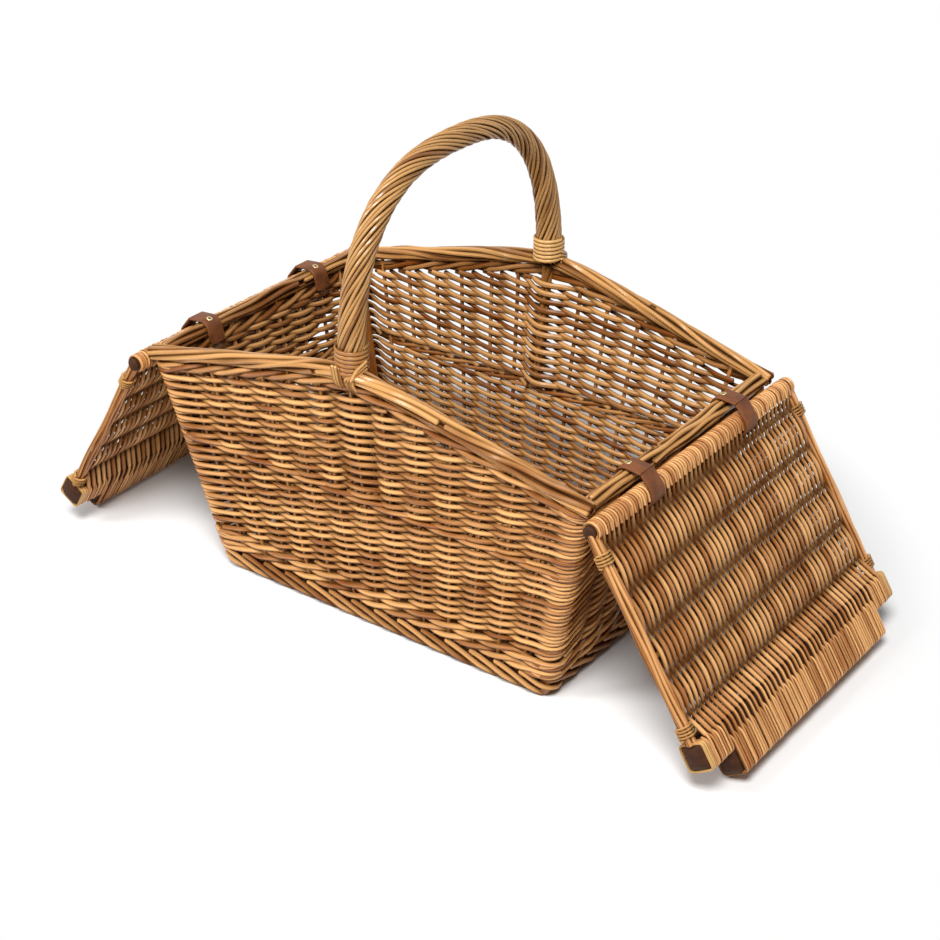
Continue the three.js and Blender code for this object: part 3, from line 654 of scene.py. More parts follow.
arch_x = np.linspace(-SIDE_BORDER_END, SIDE_BORDER_END, 130)
arch_z = arch_height(arch_x)
arch_up = unit(np.stack([-np.gradient(arch_z, arch_x), 0 * arch_x, 1 + 0 * arch_x], 1))
arch_turns = [arch_x / SIDE_BORDER_LAY + i / SIDE_BORDER_RODS for i in range(SIDE_BORDER_RODS)]
arch_lays = [2 * np.pi * turns for turns in arch_turns]
for side, sign in (("front", -1), ("back", 1)):
    core = np.stack([arch_x, sign * side_of_wall(arch_z), arch_z], 1)
    border_piece(side, core, core, arch_x, arch_up, np.array([0, sign, 0]), arch_lays, SIDE_BUNDLE,
                 chance_seed=31 + sign, seed=33 + sign)

end_reach = RIM_HALF_WIDTH - BORDER - END_BORDER_GAP
end_y = np.linspace(-end_reach, end_reach, 50)
end_lays = [2 * np.pi * (i + END_BORDER_TURN) / END_BORDER_RODS for i in range(END_BORDER_RODS)]
for side, sign in (("left", -1), ("right", 1)):
    core = np.stack([sign * RIM_HALF_LENGTH + 0 * end_y, end_y, END_RIM - END_CORE_DROP + 0 * end_y], 1)
    middle = core + (0, 0, END_CORE_DROP)
    border_piece(side, core, middle, end_y, np.array([0, 0, 1.0]), np.array([1.0, 0, 0]), end_lays,
                 END_BUNDLE, chance_seed=36 + sign, seed=41 + sign)

# Handle. A bent core rod, roped over with thin willow strands that wind round it from foot to foot. Under the
# rim its legs are twisted strands that go down inside the side walls, with the wall rods woven over them.

HANDLE_FOOT = 0.2685
HANDLE_HALF = 0.1428
HANDLE_RISE = 0.1612
HANDLE_SQUARENESS = 2.55
HANDLE_RADIUS = 0.0124
HANDLE_THINNING = 0.0019
HANDLE_CORE = 0.72
HANDLE_STRANDS = 17
HANDLE_STRAND = 0.155
HANDLE_STRAND_SPREAD = (0.88, 1.10)
HANDLE_TURNS = 3.2
ROPE_START = 0.02
ROPE_LAY_SWAY = (0.05, 0.12)
ROPE_REACH_SWAY = (0.00015, 0.05)
LEG_FOOT = 0.1600
LEG_IN = 0.0050
LEG_LAP = 0.006
LEG_STRANDS = 4
LEG_STRAND = 0.0024
LEG_TURNS = 1.3
LEG_TWIST = 0.0028
LEG_SHADE = 0.45

handle_willow = willow_finish("handle_willow", pale=(0.50, 0.265, 0.088), deep=(0.16, 0.052, 0.009))


def bow(angle):
    """Point of the bow at an angle from its front foot: a superellipse in the plane across the basket."""
    across = np.abs(np.cos(angle) / HANDLE_HALF) ** HANDLE_SQUARENESS
    upward = np.abs(np.sin(angle) / HANDLE_RISE) ** HANDLE_SQUARENESS
    reach = (across + upward) ** (-1 / HANDLE_SQUARENESS)
    return np.stack([0 * angle, -reach * np.cos(angle), HANDLE_FOOT + reach * np.sin(angle)], -1)


def rope_radius(line):
    """Radius of the roped bow along a line: thickest at the feet and thinner in step with the height."""
    return HANDLE_RADIUS - HANDLE_THINNING * np.clip((line[:, 2] - HANDLE_FOOT) / HANDLE_RISE, 0, 1)


core_line = bow(np.linspace(0, np.pi, 90))
lines = [core_line]
leg_share = np.linspace(0, 1, 40)
for sign in (-1, 1):
    low = np.array([0, sign * (side_of_wall(LEG_FOOT) - LEG_IN), LEG_FOOT])
    high = np.array([0, sign * HANDLE_HALF, HANDLE_FOOT + LEG_LAP])
    for i in range(LEG_STRANDS):
        lay = 2 * np.pi * (LEG_TURNS * leg_share + i / LEG_STRANDS)
        twist = LEG_TWIST * np.stack([np.cos(lay), np.sin(lay), 0 * lay], 1)
        lines.append(low + (high - low) * leg_share[:, None] + twist)
sizes = [HANDLE_CORE * rope_radius(core_line)] + [LEG_STRAND] * 2 * LEG_STRANDS
# Painted shade: the core under its rope is painted wholly in shade, the leg strands partly.
nooks = [np.ones(len(core_line))] + [np.full(len(leg_share), LEG_SHADE)] * 2 * LEG_STRANDS
handle_core = rods_piece("handle_core_rod", lines, sizes, stake_willow, round_section(10), ups=(1, 0.02, 0),
                         seed=51, nooks=nooks)
dress(handle_core, "basket", "willow", "handle_core")

fine = bow(np.linspace(ROPE_START, np.pi - ROPE_START, 900))
fine_run = run_along(fine)
rope_run = np.linspace(0, fine_run[-1], 200)
rope_line = np.stack([np.interp(rope_run, fine_run, fine[:, i]) for i in range(3)], 1)
rope_out = np.cross(unit(np.gradient(rope_line, axis=0)), (1.0, 0, 0))
chance = np.random.default_rng(52)
lines, ups, sizes = [], [], []
for i in range(HANDLE_STRANDS):
    lay = 2 * np.pi * (HANDLE_TURNS * rope_run / rope_run[-1] + i / HANDLE_STRANDS)
    lay += sway(chance, rope_run, *ROPE_LAY_SWAY)
    radial = np.sin(lay)[:, None] * rope_out + np.cos(lay)[:, None] * np.array([1, 0, 0])
    strand = HANDLE_STRAND * rope_radius(rope_line) * chance.uniform(*HANDLE_STRAND_SPREAD)
    reach = rope_radius(rope_line) - strand + sway(chance, rope_run, *ROPE_REACH_SWAY)
    lines.append(rope_line + reach[:, None] * radial)
    ups.append(radial)
    sizes.append(strand)
rope = rods_piece("handle_rope", lines, sizes, handle_willow, ups=ups, seed=53, crevice=(0.95, 0))
dress(rope, "basket", "willow", "handle_wrap")

# Handle bindings. Thin split willow is wound round each foot of the handle, then two sets of three strands
# come down from it over the outside of the border and are tucked into the wall underneath.

BINDING_TURNS = 6
BINDING_PITCH = 0.0038
BINDING_STRIP = (0.0012, 0.0019)
BINDING_RADIUS = 0.0136
BINDING_FOOT = 0.2710
BORDER_FACE = 0.0090
DOWN_STRANDS = 3
DOWN_STRAND = 0.0016
DOWN_PITCH = 0.0034
DOWN_STEPS = ((0, 0), (0.0015, 0.007), (0.006, 0.0125), (0.012, 0.016))
STRAIGHT_X = -0.0092
STRAIGHT_OUT = 0.0014
STRAIGHT_TOP = 0.006
SLANTED_X = 0.0032
SLANTED_SIDE = (0.0146, -0.001, 0.004)
SLANTED_SIDE_PITCH = 0.0035
SLANTED_FRONT = (0.0126, 0.010)
SLANTED_FRONT_PITCH = 0.003

binding_willow = willow_finish("binding_willow", pale=(0.70, 0.40, 0.140), deep=(0.34, 0.135, 0.032))


def rounded(corners, spacing, passes):
    """A line through corners, cut to even steps and smoothed by averaging each point with its neighbours."""
    corners = np.asarray(corners, float)
    run = run_along(corners)
    even = np.linspace(0, run[-1], int(run[-1] / spacing) + 2)
    line = np.stack([np.interp(even, run, column) for column in corners.T], 1)
    for _ in range(passes):
        line[1:-1] = 0.25 * line[:-2] + 0.5 * line[1:-1] + 0.25 * line[2:]
    return line


border_face = side_of_wall(HANDLE_FOOT) + BORDER_FACE
down = [(border_face - inward, HANDLE_FOOT - drop) for inward, drop in DOWN_STEPS]
turn = np.linspace(0, 2 * np.pi * BINDING_TURNS, BINDING_TURNS * 28)
ring_z = BINDING_FOOT + BINDING_PITCH * turn / (2 * np.pi)
ring_y = HANDLE_HALF + BINDING_RADIUS * np.sin(turn)
for side, sign in (("front", -1), ("back", 1)):
    lines = [np.stack([BINDING_RADIUS * np.cos(turn), sign * ring_y, ring_z], 1)]
    for strand in range(DOWN_STRANDS):
        x = STRAIGHT_X + DOWN_PITCH * strand
        start = [(x, HANDLE_HALF + BINDING_RADIUS + STRAIGHT_OUT, BINDING_FOOT + STRAIGHT_TOP)]
        lines.append(rounded(start + [(x, y, z) for y, z in down], spacing=0.0016, passes=4) * (1, sign, 1))
        x = SLANTED_X + DOWN_PITCH * strand
        side_z = BINDING_FOOT + SLANTED_SIDE[2] + SLANTED_SIDE_PITCH * strand
        front_z = BINDING_FOOT + SLANTED_FRONT_PITCH * strand
        start = [(SLANTED_SIDE[0], HANDLE_HALF + SLANTED_SIDE[1], side_z),
                 (SLANTED_FRONT[0], HANDLE_HALF + SLANTED_FRONT[1], front_z)]
        lines.append(rounded(start + [(x, y, z) for y, z in down], spacing=0.0016, passes=4) * (1, sign, 1))
    sizes = [BINDING_STRIP] + [DOWN_STRAND] * 2 * DOWN_STRANDS
    binding = rods_piece(f"handle_binding_{side}_strands", lines, sizes, binding_willow, ups=(0.02, 0.1, 1),
                         seed=61 + sign, crevice=(0, 0.8))
    dress(binding, "basket", "pale_willow", f"handle_binding_{side}")

# Lid bars. Each lid has a round hinge bar and two square battens of dark stained wood, sawn off plain. The
# rest batten lies on the long rims when the lid is shut, the shorter meeting batten between the handle's
# feet.

HINGE_BAR = 0.0060
HINGE_BAR_INSET = 0.002
BATTEN_HALF = 0.01075
BATTEN_CORNER = 0.36
BATTEN_INSET = 0.0035
BAR_POINTS = 12
WOOD_STRETCH = (160, 12, 160)
WOOD_BLACK = (0.010, 0.003, 0.001, 1)
WOOD_BROWN = (0.070, 0.024, 0.009, 1)

LidAxes = namedtuple("LidAxes", "start along face reach")


def middle_of(node):
    """Middle of a solid of the frame."""
    low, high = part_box(node)
    return np.array((low + high) / 2)


def half_across(node):
    """Half length of a solid of the frame across the basket."""
    low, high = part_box(node)
    return (high - low)[1] / 2


def lid_axes(end):
    """A lid's own axes from the frame: the hinge bar's middle, the way to the battens, the way out of the
    lid's underside and the distance from the bar to the rest batten."""
    start = middle_of(f"lid_{end}_hinge_bar")
    along = middle_of(f"lid_{end}_rest_batten") - start
    reach = np.linalg.norm(along)
    along /= reach
    face = np.array([-along[2], 0, along[0]]) * np.sign(along[0])
    return LidAxes(start, along, face, reach)


def lid_line(axes, run, rise, across):
    """Points of a lid from the distance along it, the height over its middle and the place across it."""
    run, rise, across = (part[..., None] for part in np.broadcast_arrays(run, rise, across))
    return axes.start + run * axes.along + rise * axes.face + across * np.array([0, 1.0, 0])


def bar_section(corner, sides):
    """A square of half width one with rounded corners, as arcs about four corner centres."""
    turn = np.linspace(0, np.pi / 2, sides)
    bend = arc(corner, turn) + (1 - corner)
    quarter = np.array([[0, 1], [-1, 0]])
    return np.vstack([bend @ np.linalg.matrix_power(quarter, k) for k in range(4)])


def dark_wood_finish():
    """Dark stained wood: long streaks along the bar between near black and brown, dull and a little rough."""
    finish, tree, shader = new_finish("dark_wood")
    shader["Specular IOR Level"].default_value = 0.15
    place = add_node(tree, "ShaderNodeTexCoord").outputs["Object"]
    streak = noise(tree, stretched(tree, place, WOOD_STRETCH), scale=1.0, detail=4.0)
    feed(tree, shader, Base_Color=colour_mix(tree, streak, WOOD_BLACK, WOOD_BROWN),
         Roughness=sum_of(tree, streak, factor=0.3, offset=0.4),
         Normal=bumped(tree, streak, strength=0.4, depth=0.0008))
    return finish


dark_wood = dark_wood_finish()
lids = {end: lid_axes(end) for end in ("left", "right")}
batten_form = (BATTEN_HALF, BATTEN_INSET, bar_section(BATTEN_CORNER, 6), 91)
bar_form = (HINGE_BAR, HINGE_BAR_INSET, round_section(16), 92)
bars = (("rest_batten", "bar", batten_form), ("meeting_batten", "bar", batten_form),
        ("hinge_bar", "rod", bar_form))
for end, axes in lids.items():
    for label, ending, (half_size, inset, section, seed) in bars:
        node = f"lid_{end}_{label}"
        run = np.dot(middle_of(node) - axes.start, axes.along)
        half = half_across(node) - inset
        line = lid_line(axes, run, 0.0, np.linspace(-half, half, BAR_POINTS))
        bar = rods_piece(f"{node}_{ending}", [line], [half_size], dark_wood, section, ups=axes.face,
                         seed=seed)
        dress(bar, f"{end}_lid", "dark_wood", node)

# Lid panels. Thin willow strands are woven over four cross sticks. At one end they are wrapped round the
# hinge bar and at the other round both battens, where every second strand on a face is one coming back.

LID_STICKS = 4
LID_STICK = 0.0024
LID_STICK_SHADE = 0.6
LID_SECTION = round_section(7)
STRAND = (0.0014, 0.0015)
STRAND_SPREAD = 0.0010
CROSSING_SPREAD = 0.5
STRAND_PITCH = 0.0034
STRAND_STRAY = 0.0003
STRAND_SWAY = (0.0002, 0.2)
STRAND_UNEVEN = (0.92, 1.06)
RISE_UNEVEN = (0.94, 1.05)
STRAND_HALF_WIDTH = 0.1488
WEAVE_HIGH = LID_STICK + STRAND[0]
WEAVE_START = 0.45
WEAVE_END = LID_STICKS + 0.5
STEPS_PER_GAP = 12
BATTEN_OVER = BATTEN_HALF + STRAND[0]
BATTEN_LAP = 0.0012
RETURN_LAP = 0.002
RETURN_TUCK = (0.001, 0.005)
BAR_TUCK = (0.0070, 0.0016)
WOVEN_FROM = 0.012
WOVEN_TO = 0.014
MEETING_INSET = 0.003
BATTEN_SHADE = 0.05
STRAND_CROSSING_SHADE = 0.95
STRAND_CROSSING_FADE = 1.3
STRAND_FACING_START = 0.25
BAR_WRAPS = (0.1520, 0.1549, -0.1520, -0.1549)
BAR_WRAP = (0.0012, 0.0016)
BAR_WRAP_TURN = 1.95 * np.pi
BAR_WRAP_PITCH = 0.0003

# The lid willow is set paler than the wall willow to make up for the lid catching less of the lamps' light:
# painted light on the lid strands and side rods.
lid_willow = willow_finish("lid_willow", pale=(0.82, 0.420, 0.155), deep=(0.38, 0.130, 0.028))


def strand_profile(reach, far, side):
    """Run and rise of one strand: a half turn round the hinge bar, a cosine wave over the sticks, then
    straight up to the battens' inner edge, over their face, round the far edge and back over the last one."""
    wrap = HINGE_BAR + STRAND[0]
    turn = side * np.pi * np.linspace(0.5, 1.5, 12)
    coil = arc(wrap, turn)
    near = reach - BATTEN_OVER
    gap = near / (LID_STICKS + 1)
    run = np.arange(WEAVE_START, WEAVE_END, 1 / STEPS_PER_GAP) * gap
    weave = np.stack([run, side * WEAVE_HIGH * np.cos(np.pi * (run / gap - 1))], 1)
    edge = far + BATTEN_OVER
    last = reach if far > reach else near
    over = side * BATTEN_OVER
    tail = [(near + BATTEN_LAP, over), (edge, over), (edge, -over), (last + RETURN_LAP, -over),
            (last - RETURN_TUCK[0], -side * (BATTEN_OVER - RETURN_TUCK[1]))]
    tuck = [(BAR_TUCK[0], side * (wrap - BAR_TUCK[1]))]
    over_battens = rounded(np.vstack([weave[-1:], tail]), spacing=0.0018, passes=5)
    return np.vstack([tuck, coil, weave, over_battens[1:]])


strand_y = np.arange(-STRAND_HALF_WIDTH, STRAND_HALF_WIDTH + 1e-6, STRAND_PITCH)
for end, chance_seed in (("left", 71), ("right", 72)):
    axes = lids[end]
    meeting = np.dot(middle_of(f"lid_{end}_meeting_batten") - axes.start, axes.along)
    meeting_half = half_across(f"lid_{end}_meeting_batten") - MEETING_INSET
    chance = np.random.default_rng(chance_seed)
    lines, sizes, nooks = [], [], []
    for i, y in enumerate(strand_y):
        far = meeting if abs(y) < meeting_half else axes.reach
        run, rise = strand_profile(axes.reach, far, 1 if i % 2 else -1).T
        rise = rise * chance.uniform(*RISE_UNEVEN)
        stray = chance.uniform(-1, 1) * STRAND_STRAY + sway(chance, run, *STRAND_SWAY)
        lines.append(lid_line(axes, run, rise, y + stray))
        woven = (run > WOVEN_FROM) & (run < axes.reach - WOVEN_TO)
        swing = np.clip(rise / WEAVE_HIGH, -1, 1)
        width = STRAND[1] + STRAND_SPREAD * np.where(woven, np.maximum(np.abs(swing), CROSSING_SPREAD), 0)
        sizes.append(np.stack([STRAND[0] + 0 * run, width], 1) * chance.uniform(*STRAND_UNEVEN))
        # Painted shade where a strand dives between the sticks, on its side that faces the panel's middle as
        # it bows, and a little over the battens.
        crossing = STRAND_CROSSING_SHADE * (1 - np.abs(swing)) ** STRAND_CROSSING_FADE
        on_battens = np.where(run > axes.reach - WOVEN_TO, BATTEN_SHADE, 0)
        crossing = np.where(woven, crossing, on_battens)[:, None]
        turned = swing[:, None] * LID_SECTION[:, 0] * np.sign(axes.along[0])
        facing = woven[:, None] * np.clip(STRAND_FACING_START - turned, 0, 1)
        nooks.append(1 - (1 - crossing) * (1 - facing))
    turn = np.linspace(0, BAR_WRAP_TURN, 30)
    wrap = HINGE_BAR + BAR_WRAP[0]
    for y in BAR_WRAPS:
        lines.append(lid_line(axes, wrap * np.cos(turn), wrap * np.sin(turn), y + BAR_WRAP_PITCH * turn))
        sizes.append(BAR_WRAP)
        nooks.append(np.zeros(len(turn)))
    strands = rods_piece(f"lid_{end}_strands", lines, sizes, lid_willow, LID_SECTION, ups=(0, 1, 0), seed=73,
                         nooks=nooks, crevice=(0, 1.0))
    dress(strands, f"{end}_lid", "willow", f"lid_{end}_panel")

    gap = (axes.reach - BATTEN_OVER) / (LID_STICKS + 1)
    across = np.linspace(-STRAND_HALF_WIDTH, STRAND_HALF_WIDTH, 20)
    lines = [lid_line(axes, gap * (i + 1), 0.0, across) for i in range(LID_STICKS)]
    # The sticks under the strands are painted partly in shade.
    nooks = [np.full(len(across), LID_STICK_SHADE)] * LID_STICKS
    sizes = [LID_STICK] * LID_STICKS
    sticks = rods_piece(f"lid_{end}_sticks", lines, sizes, stake_willow, seed=75, nooks=nooks)
    dress(sticks, f"{end}_lid", "willow", *[f"lid_{end}_stick_{i + 1}" for i in range(LID_STICKS)])

# Lid side rods. Five willow rods lie along each side edge of a lid, from the hinge bar to the rest batten,
# and are held by the ties.

SIDE_ROD = 0.0019
SIDE_ROD_SPREAD = (0.9, 1.1)
SIDE_RODS_Y = 0.1548
SIDE_ROD_PLACES = ((-0.0036, 0.0014), (0.0002, 0.0029), (0.0036, 0.0008), (-0.0020, -0.0024),
                   (0.0022, -0.0027))
SIDE_ROD_START = 0.002
SIDE_ROD_GAP = 0.001
SIDE_SWAY = (0.0006, 0.16)
RISE_SWAY = (0.0005, 0.16)

for end, first_seed in (("left", 82), ("right", 80)):
    axes = lids[end]
    run = np.linspace(SIDE_ROD_START, axes.reach - BATTEN_HALF - SIDE_ROD_GAP, 40)
    for side, sign, seed_step in (("front", -1, 0), ("back", 1, 1)):
        chance = np.random.default_rng(first_seed + seed_step)
        lines = []
        for out, rise in SIDE_ROD_PLACES:
            across = sign * (SIDE_RODS_Y + out) + sway(chance, run, *SIDE_SWAY)
            lines.append(lid_line(axes, run, rise + sway(chance, run, *RISE_SWAY), across))
        sizes = [SIDE_ROD * chance.uniform(*SIDE_ROD_SPREAD) for _ in lines]
        node = f"lid_{end}_side_rods_{side}"
        rods = rods_piece(f"{node}_bundle", lines, sizes, lid_willow, ups=(0, 1, 0), seed=81,
                          crevice=(0, 0.8))
        dress(rods, f"{end}_lid", "willow", node)

# Lid ties. Split willow is wound four times round the side rods near the hinge bar. At the free end it goes
# round them next to the rest batten and then over the batten's end.

TIE_TURNS = 4
TIE_STRIP = (0.0008, 0.0013)
TIE_PITCH = 0.0027
TIE_WIDE = 0.0072
TIE_HIGH = 0.0058
HINGE_TIE_RUN = 0.0240
FREE_TIE_GAP = 0.0110
TIE_LOOPS = 3
TIE_LOOP_STRIP = (0.0010, 0.0015)
TIE_LOOP_OVER = BATTEN_HALF + 0.0012
TIE_LOOP_FIRST = -0.0043
TIE_LOOP_PITCH = 0.0028
LOOP_CORNERS = ((-1, 0), (-1, 1), (1, 1), (1, -1), (-1, -1), (-1, 0))

turn = np.linspace(0, 2 * np.pi * TIE_TURNS, TIE_TURNS * 24)
for end, axes in lids.items():
    loop = np.array([axes.reach, 0]) + TIE_LOOP_OVER * np.array(LOOP_CORNERS)
    loop_run, loop_rise = rounded(loop, spacing=0.0018, passes=3).T
    free_tie_run = axes.reach - TIE_LOOP_OVER - FREE_TIE_GAP
    for side, sign in (("front", -1), ("back", 1)):
        across = sign * (SIDE_RODS_Y + TIE_WIDE * np.cos(turn))
        for label, at, loops in (("hinge", HINGE_TIE_RUN, 0), ("free", free_tie_run, TIE_LOOPS)):
            run = at + TIE_PITCH * (turn / (2 * np.pi) - TIE_TURNS / 2)
            lines = [lid_line(axes, run, TIE_HIGH * np.sin(turn), across)]
            for k in range(loops):
                loop_y = sign * (SIDE_RODS_Y + TIE_LOOP_FIRST + TIE_LOOP_PITCH * k)
                lines.append(lid_line(axes, loop_run, loop_rise, loop_y))
            sizes = [TIE_STRIP] + [TIE_LOOP_STRIP] * loops
            node = f"lid_{end}_{label}_tie_{side}"
            tie = rods_piece(f"{node}_turns", lines, sizes, binding_willow, round_section(6),
                             ups=(0.01, 1, 0.02), seed=85, crevice=(0, 0.7))
            dress(tie, f"{end}_lid", "pale_willow", node)

# Leather straps. Each goes over the end border, creases at the hinge line and runs over the wrapped hinge bar
# into the weave of the lid. One strap is two parts here, which meet in the crease.

STRAP_HALF = (0.0012, 0.0095)
STRAP_PLACES = (("front", -0.075), ("back", 0.075))
STRAP_TAIL = 0.0140
STRAP_TAIL_GAP = 0.001
STRAP_WRAP = np.radians(175)
STRAP_END_POINTS = 4
STRAP_END_WIDTH = 0.72
STRAP_END_CURVE = 0.85
HINGE_OUT = 0.0155
HINGE_UP = 0.0090
RIM_STRAP = 0.00905
BAR_STRAP = 0.01105
CREASE_GAP = 0.0014
LEAF_LENGTH = 0.0135
LEAF_GAP = 0.0008
LEATHER_DARK = (0.085, 0.025, 0.007, 1)
LEATHER_LIGHT = (0.20, 0.066, 0.020, 1)


def leather_finish():
    """Reddish brown strap leather: soft clouds of two browns, a fine pebble grain and an uneven satin."""
    finish, tree, shader = new_finish("strap_leather")
    shader["Specular IOR Level"].default_value = 0.25
    place = add_node(tree, "ShaderNodeTexCoord").outputs["Object"]
    cloud = noise(tree, place, scale=90.0, detail=4.0)
    pebble = add_node(tree, "ShaderNodeTexVoronoi", Vector=place, Scale=1400.0).outputs["Distance"]
    share = sum_of(tree, cloud, factor=2.2, offset=-0.6, clamp=True)
    feed(tree, shader, Base_Color=colour_mix(tree, share, LEATHER_DARK, LEATHER_LIGHT),
         Roughness=sum_of(tree, cloud, factor=0.2, offset=0.38),
         Normal=bumped(tree, pebble, strength=0.3, depth=0.0003))
    return finish


def strap_section():
    """A flat strip of half height one and half width one, with half round edges as thick as the strip."""
    turn = np.linspace(-np.pi / 2, np.pi / 2, 7)
    edge = STRAP_HALF[0] / STRAP_HALF[1]
    half = np.stack([np.sin(turn), 1 - edge + edge * np.cos(turn)], 1)
    return np.vstack([half, -half])[::-1]


def strap_sizes(count):
    """Half thickness and half width along a strap whose edges follow an ellipse over its first points, so
    that the corners of its end are round."""
    curve = np.sqrt(1 - np.linspace(STRAP_END_CURVE, 0, STRAP_END_POINTS) ** 2)
    share = np.ones(count)
    share[:STRAP_END_POINTS] = STRAP_END_WIDTH + (1 - STRAP_END_WIDTH) * curve
    return np.stack([STRAP_HALF[0] + 0 * share, STRAP_HALF[1] * share], 1)


strap_leather = leather_finish()
leaf_rise = np.arcsin((RIM_STRAP + CREASE_GAP) / np.hypot(HINGE_OUT, HINGE_UP))
leaf_turn = np.pi + np.arctan2(HINGE_UP, HINGE_OUT) - leaf_rise
leaf_start = np.array([HINGE_OUT, HINGE_UP]) - arc(CREASE_GAP, leaf_turn - np.pi / 2)
wall_turn = np.pi - np.arctan2(RIM_HALF_LENGTH - FOOT_HALF_LENGTH, END_RIM)
tail_run = np.linspace(STRAP_TAIL, STRAP_TAIL_GAP, 8)[:, None]
leaf_run = np.linspace(LEAF_LENGTH, LEAF_GAP, 6)[:, None]
rim_strap = np.vstack([arc(RIM_STRAP, wall_turn) + arc(1, wall_turn + np.pi / 2) * tail_run,
                       arc(RIM_STRAP, np.linspace(wall_turn, leaf_turn - np.pi / 2, 14)),
                       leaf_start + arc(1, leaf_turn) * leaf_run])
rim_strap = np.stack([RIM_HALF_LENGTH + rim_strap[:, 0], 0 * rim_strap[:, 0], END_RIM + rim_strap[:, 1]], 1)

for end, sign in (("right", 1), ("left", -1)):
    axes = lids[end]
    hinge = np.array([sign * (RIM_HALF_LENGTH + HINGE_OUT), 0, END_RIM + HINGE_UP]) - axes.start
    crease = np.array([np.dot(hinge, axes.along), np.dot(hinge, axes.face)])
    slope = np.arctan2(-crease[1], -crease[0]) + np.arcsin((BAR_STRAP + CREASE_GAP) / np.hypot(*crease))
    way = arc(1, slope)
    away = arc(1, slope - np.pi / 2)
    round_bar = np.linspace(slope + np.pi / 2, slope + np.pi / 2 - STRAP_WRAP, 26)
    leaf_length = np.dot(arc(BAR_STRAP, round_bar[0]) - crease, way)
    leaf = crease + away * CREASE_GAP + way * np.linspace(LEAF_GAP, leaf_length - STRAP_TAIL_GAP, 6)[:, None]
    lid_strap = np.vstack([leaf, arc(BAR_STRAP, round_bar)])
    for side, place in STRAP_PLACES:
        rim_part = rim_strap * (sign, 1, 1) + (0, place, 0)
        rim_sizes = strap_sizes(len(rim_part))
        lid_part = lid_line(axes, lid_strap[:, 0], lid_strap[:, 1], place)
        lid_sizes = strap_sizes(len(lid_part))[::-1]
        parts = ((f"strap_rim_{end}_{side}", "basket", rim_part, rim_sizes, 95),
                 (f"lid_{end}_strap_{side}", f"{end}_lid", lid_part, lid_sizes, 96))
        for node, body, line, size, seed in parts:
            strap = rods_piece(f"{node}_leather", [line], [size], strap_leather, strap_section(),
                               ups=(0, 1, 0), seed=seed)
            dress(strap, body, "leather", node)

# Eyelet rivets. A pressed ring of thin brass with a rolled rim and an open middle, one in each strap, which
# holds the strap on the end border. A low floor closes the middle and is painted dark, a painted shade in the
# hole.

EYELET = 0.0030
EYELET_HOLE = 0.0013
EYELET_RISE = 0.0006
EYELET_FLOOR = 0.0004
EYELET_SUNK = -0.0004
EYELET_AXIS = 0.0002
HOLE_STEP = 0.98
HOLE_EDGE = 1.05
HOLE_TOP = 0.8
EYELET_TURN = np.radians(106)
EYELET_SEAT = 0.0099
EYELET_SIDES = 20
EYELET_SHARP_EDGE = 0.9
BRASS_DULL = (0.55, 0.40, 0.17, 1)
BRASS_BRIGHT = (0.86, 0.73, 0.42, 1)
# Colour of the painted shade in the eyelet's open middle.
HOLE_SHADE_COLOUR = (0.012, 0.006, 0.003, 1)


def turned_piece(name, radius, height, place, axis, finish):
    """A profile turned round an axis. The profile starts and ends by the axis, where a small face closes each
    end, and each point keeps whether it lies inside the hole, where it is painted in shade."""
    level_way = np.array([0, 1.0, 0])
    turn = 2 * np.pi * np.arange(EYELET_SIDES) / EYELET_SIDES
    ring = np.cos(turn)[:, None] * level_way + np.sin(turn)[:, None] * np.cross(axis, level_way)
    rings = place + height[:, None, None] * axis + radius[:, None, None] * ring
    around = np.arange(EYELET_SIDES)
    rows = np.arange(len(radius) - 1)[:, None] * EYELET_SIDES
    low = rows + around
    high = rows + (around + 1) % EYELET_SIDES
    quads = np.stack([low, high, high + EYELET_SIDES, low + EYELET_SIDES], -1).reshape(-1, 4)
    ends = np.stack([around[::-1], (len(radius) - 1) * EYELET_SIDES + around])
    mesh = bpy.data.meshes.new(name)
    mesh.from_pydata(rings.reshape(-1, 3), [], quads.tolist() + ends.tolist())
    in_hole = (radius < HOLE_EDGE * EYELET_HOLE) & (height < HOLE_TOP * EYELET_RISE)
    return finished_piece(mesh, finish, EYELET_SHARP_EDGE, nook=np.repeat(in_hole, EYELET_SIDES))


def brass_finish():
    """Pale brass with soft tarnish spots, and the open middle of the eyelet painted dark and not metal, a
    painted shade.
    """
    finish, tree, shader = new_finish("eyelet_brass")
    place = add_node(tree, "ShaderNodeTexCoord").outputs["Object"]
    spots = noise(tree, place, scale=700.0, detail=3.0)
    nook = add_node(tree, "ShaderNodeAttribute", {"attribute_name": "nook"}).outputs["Fac"]
    metal = colour_mix(tree, spots, BRASS_DULL, BRASS_BRIGHT)
    feed(tree, shader, Base_Color=colour_mix(tree, nook, metal, HOLE_SHADE_COLOUR),
         Metallic=sum_of(tree, nook, factor=-1.0, offset=1.0),
         Roughness=sum_of(tree, spots, factor=0.25, offset=0.2))
    return finish


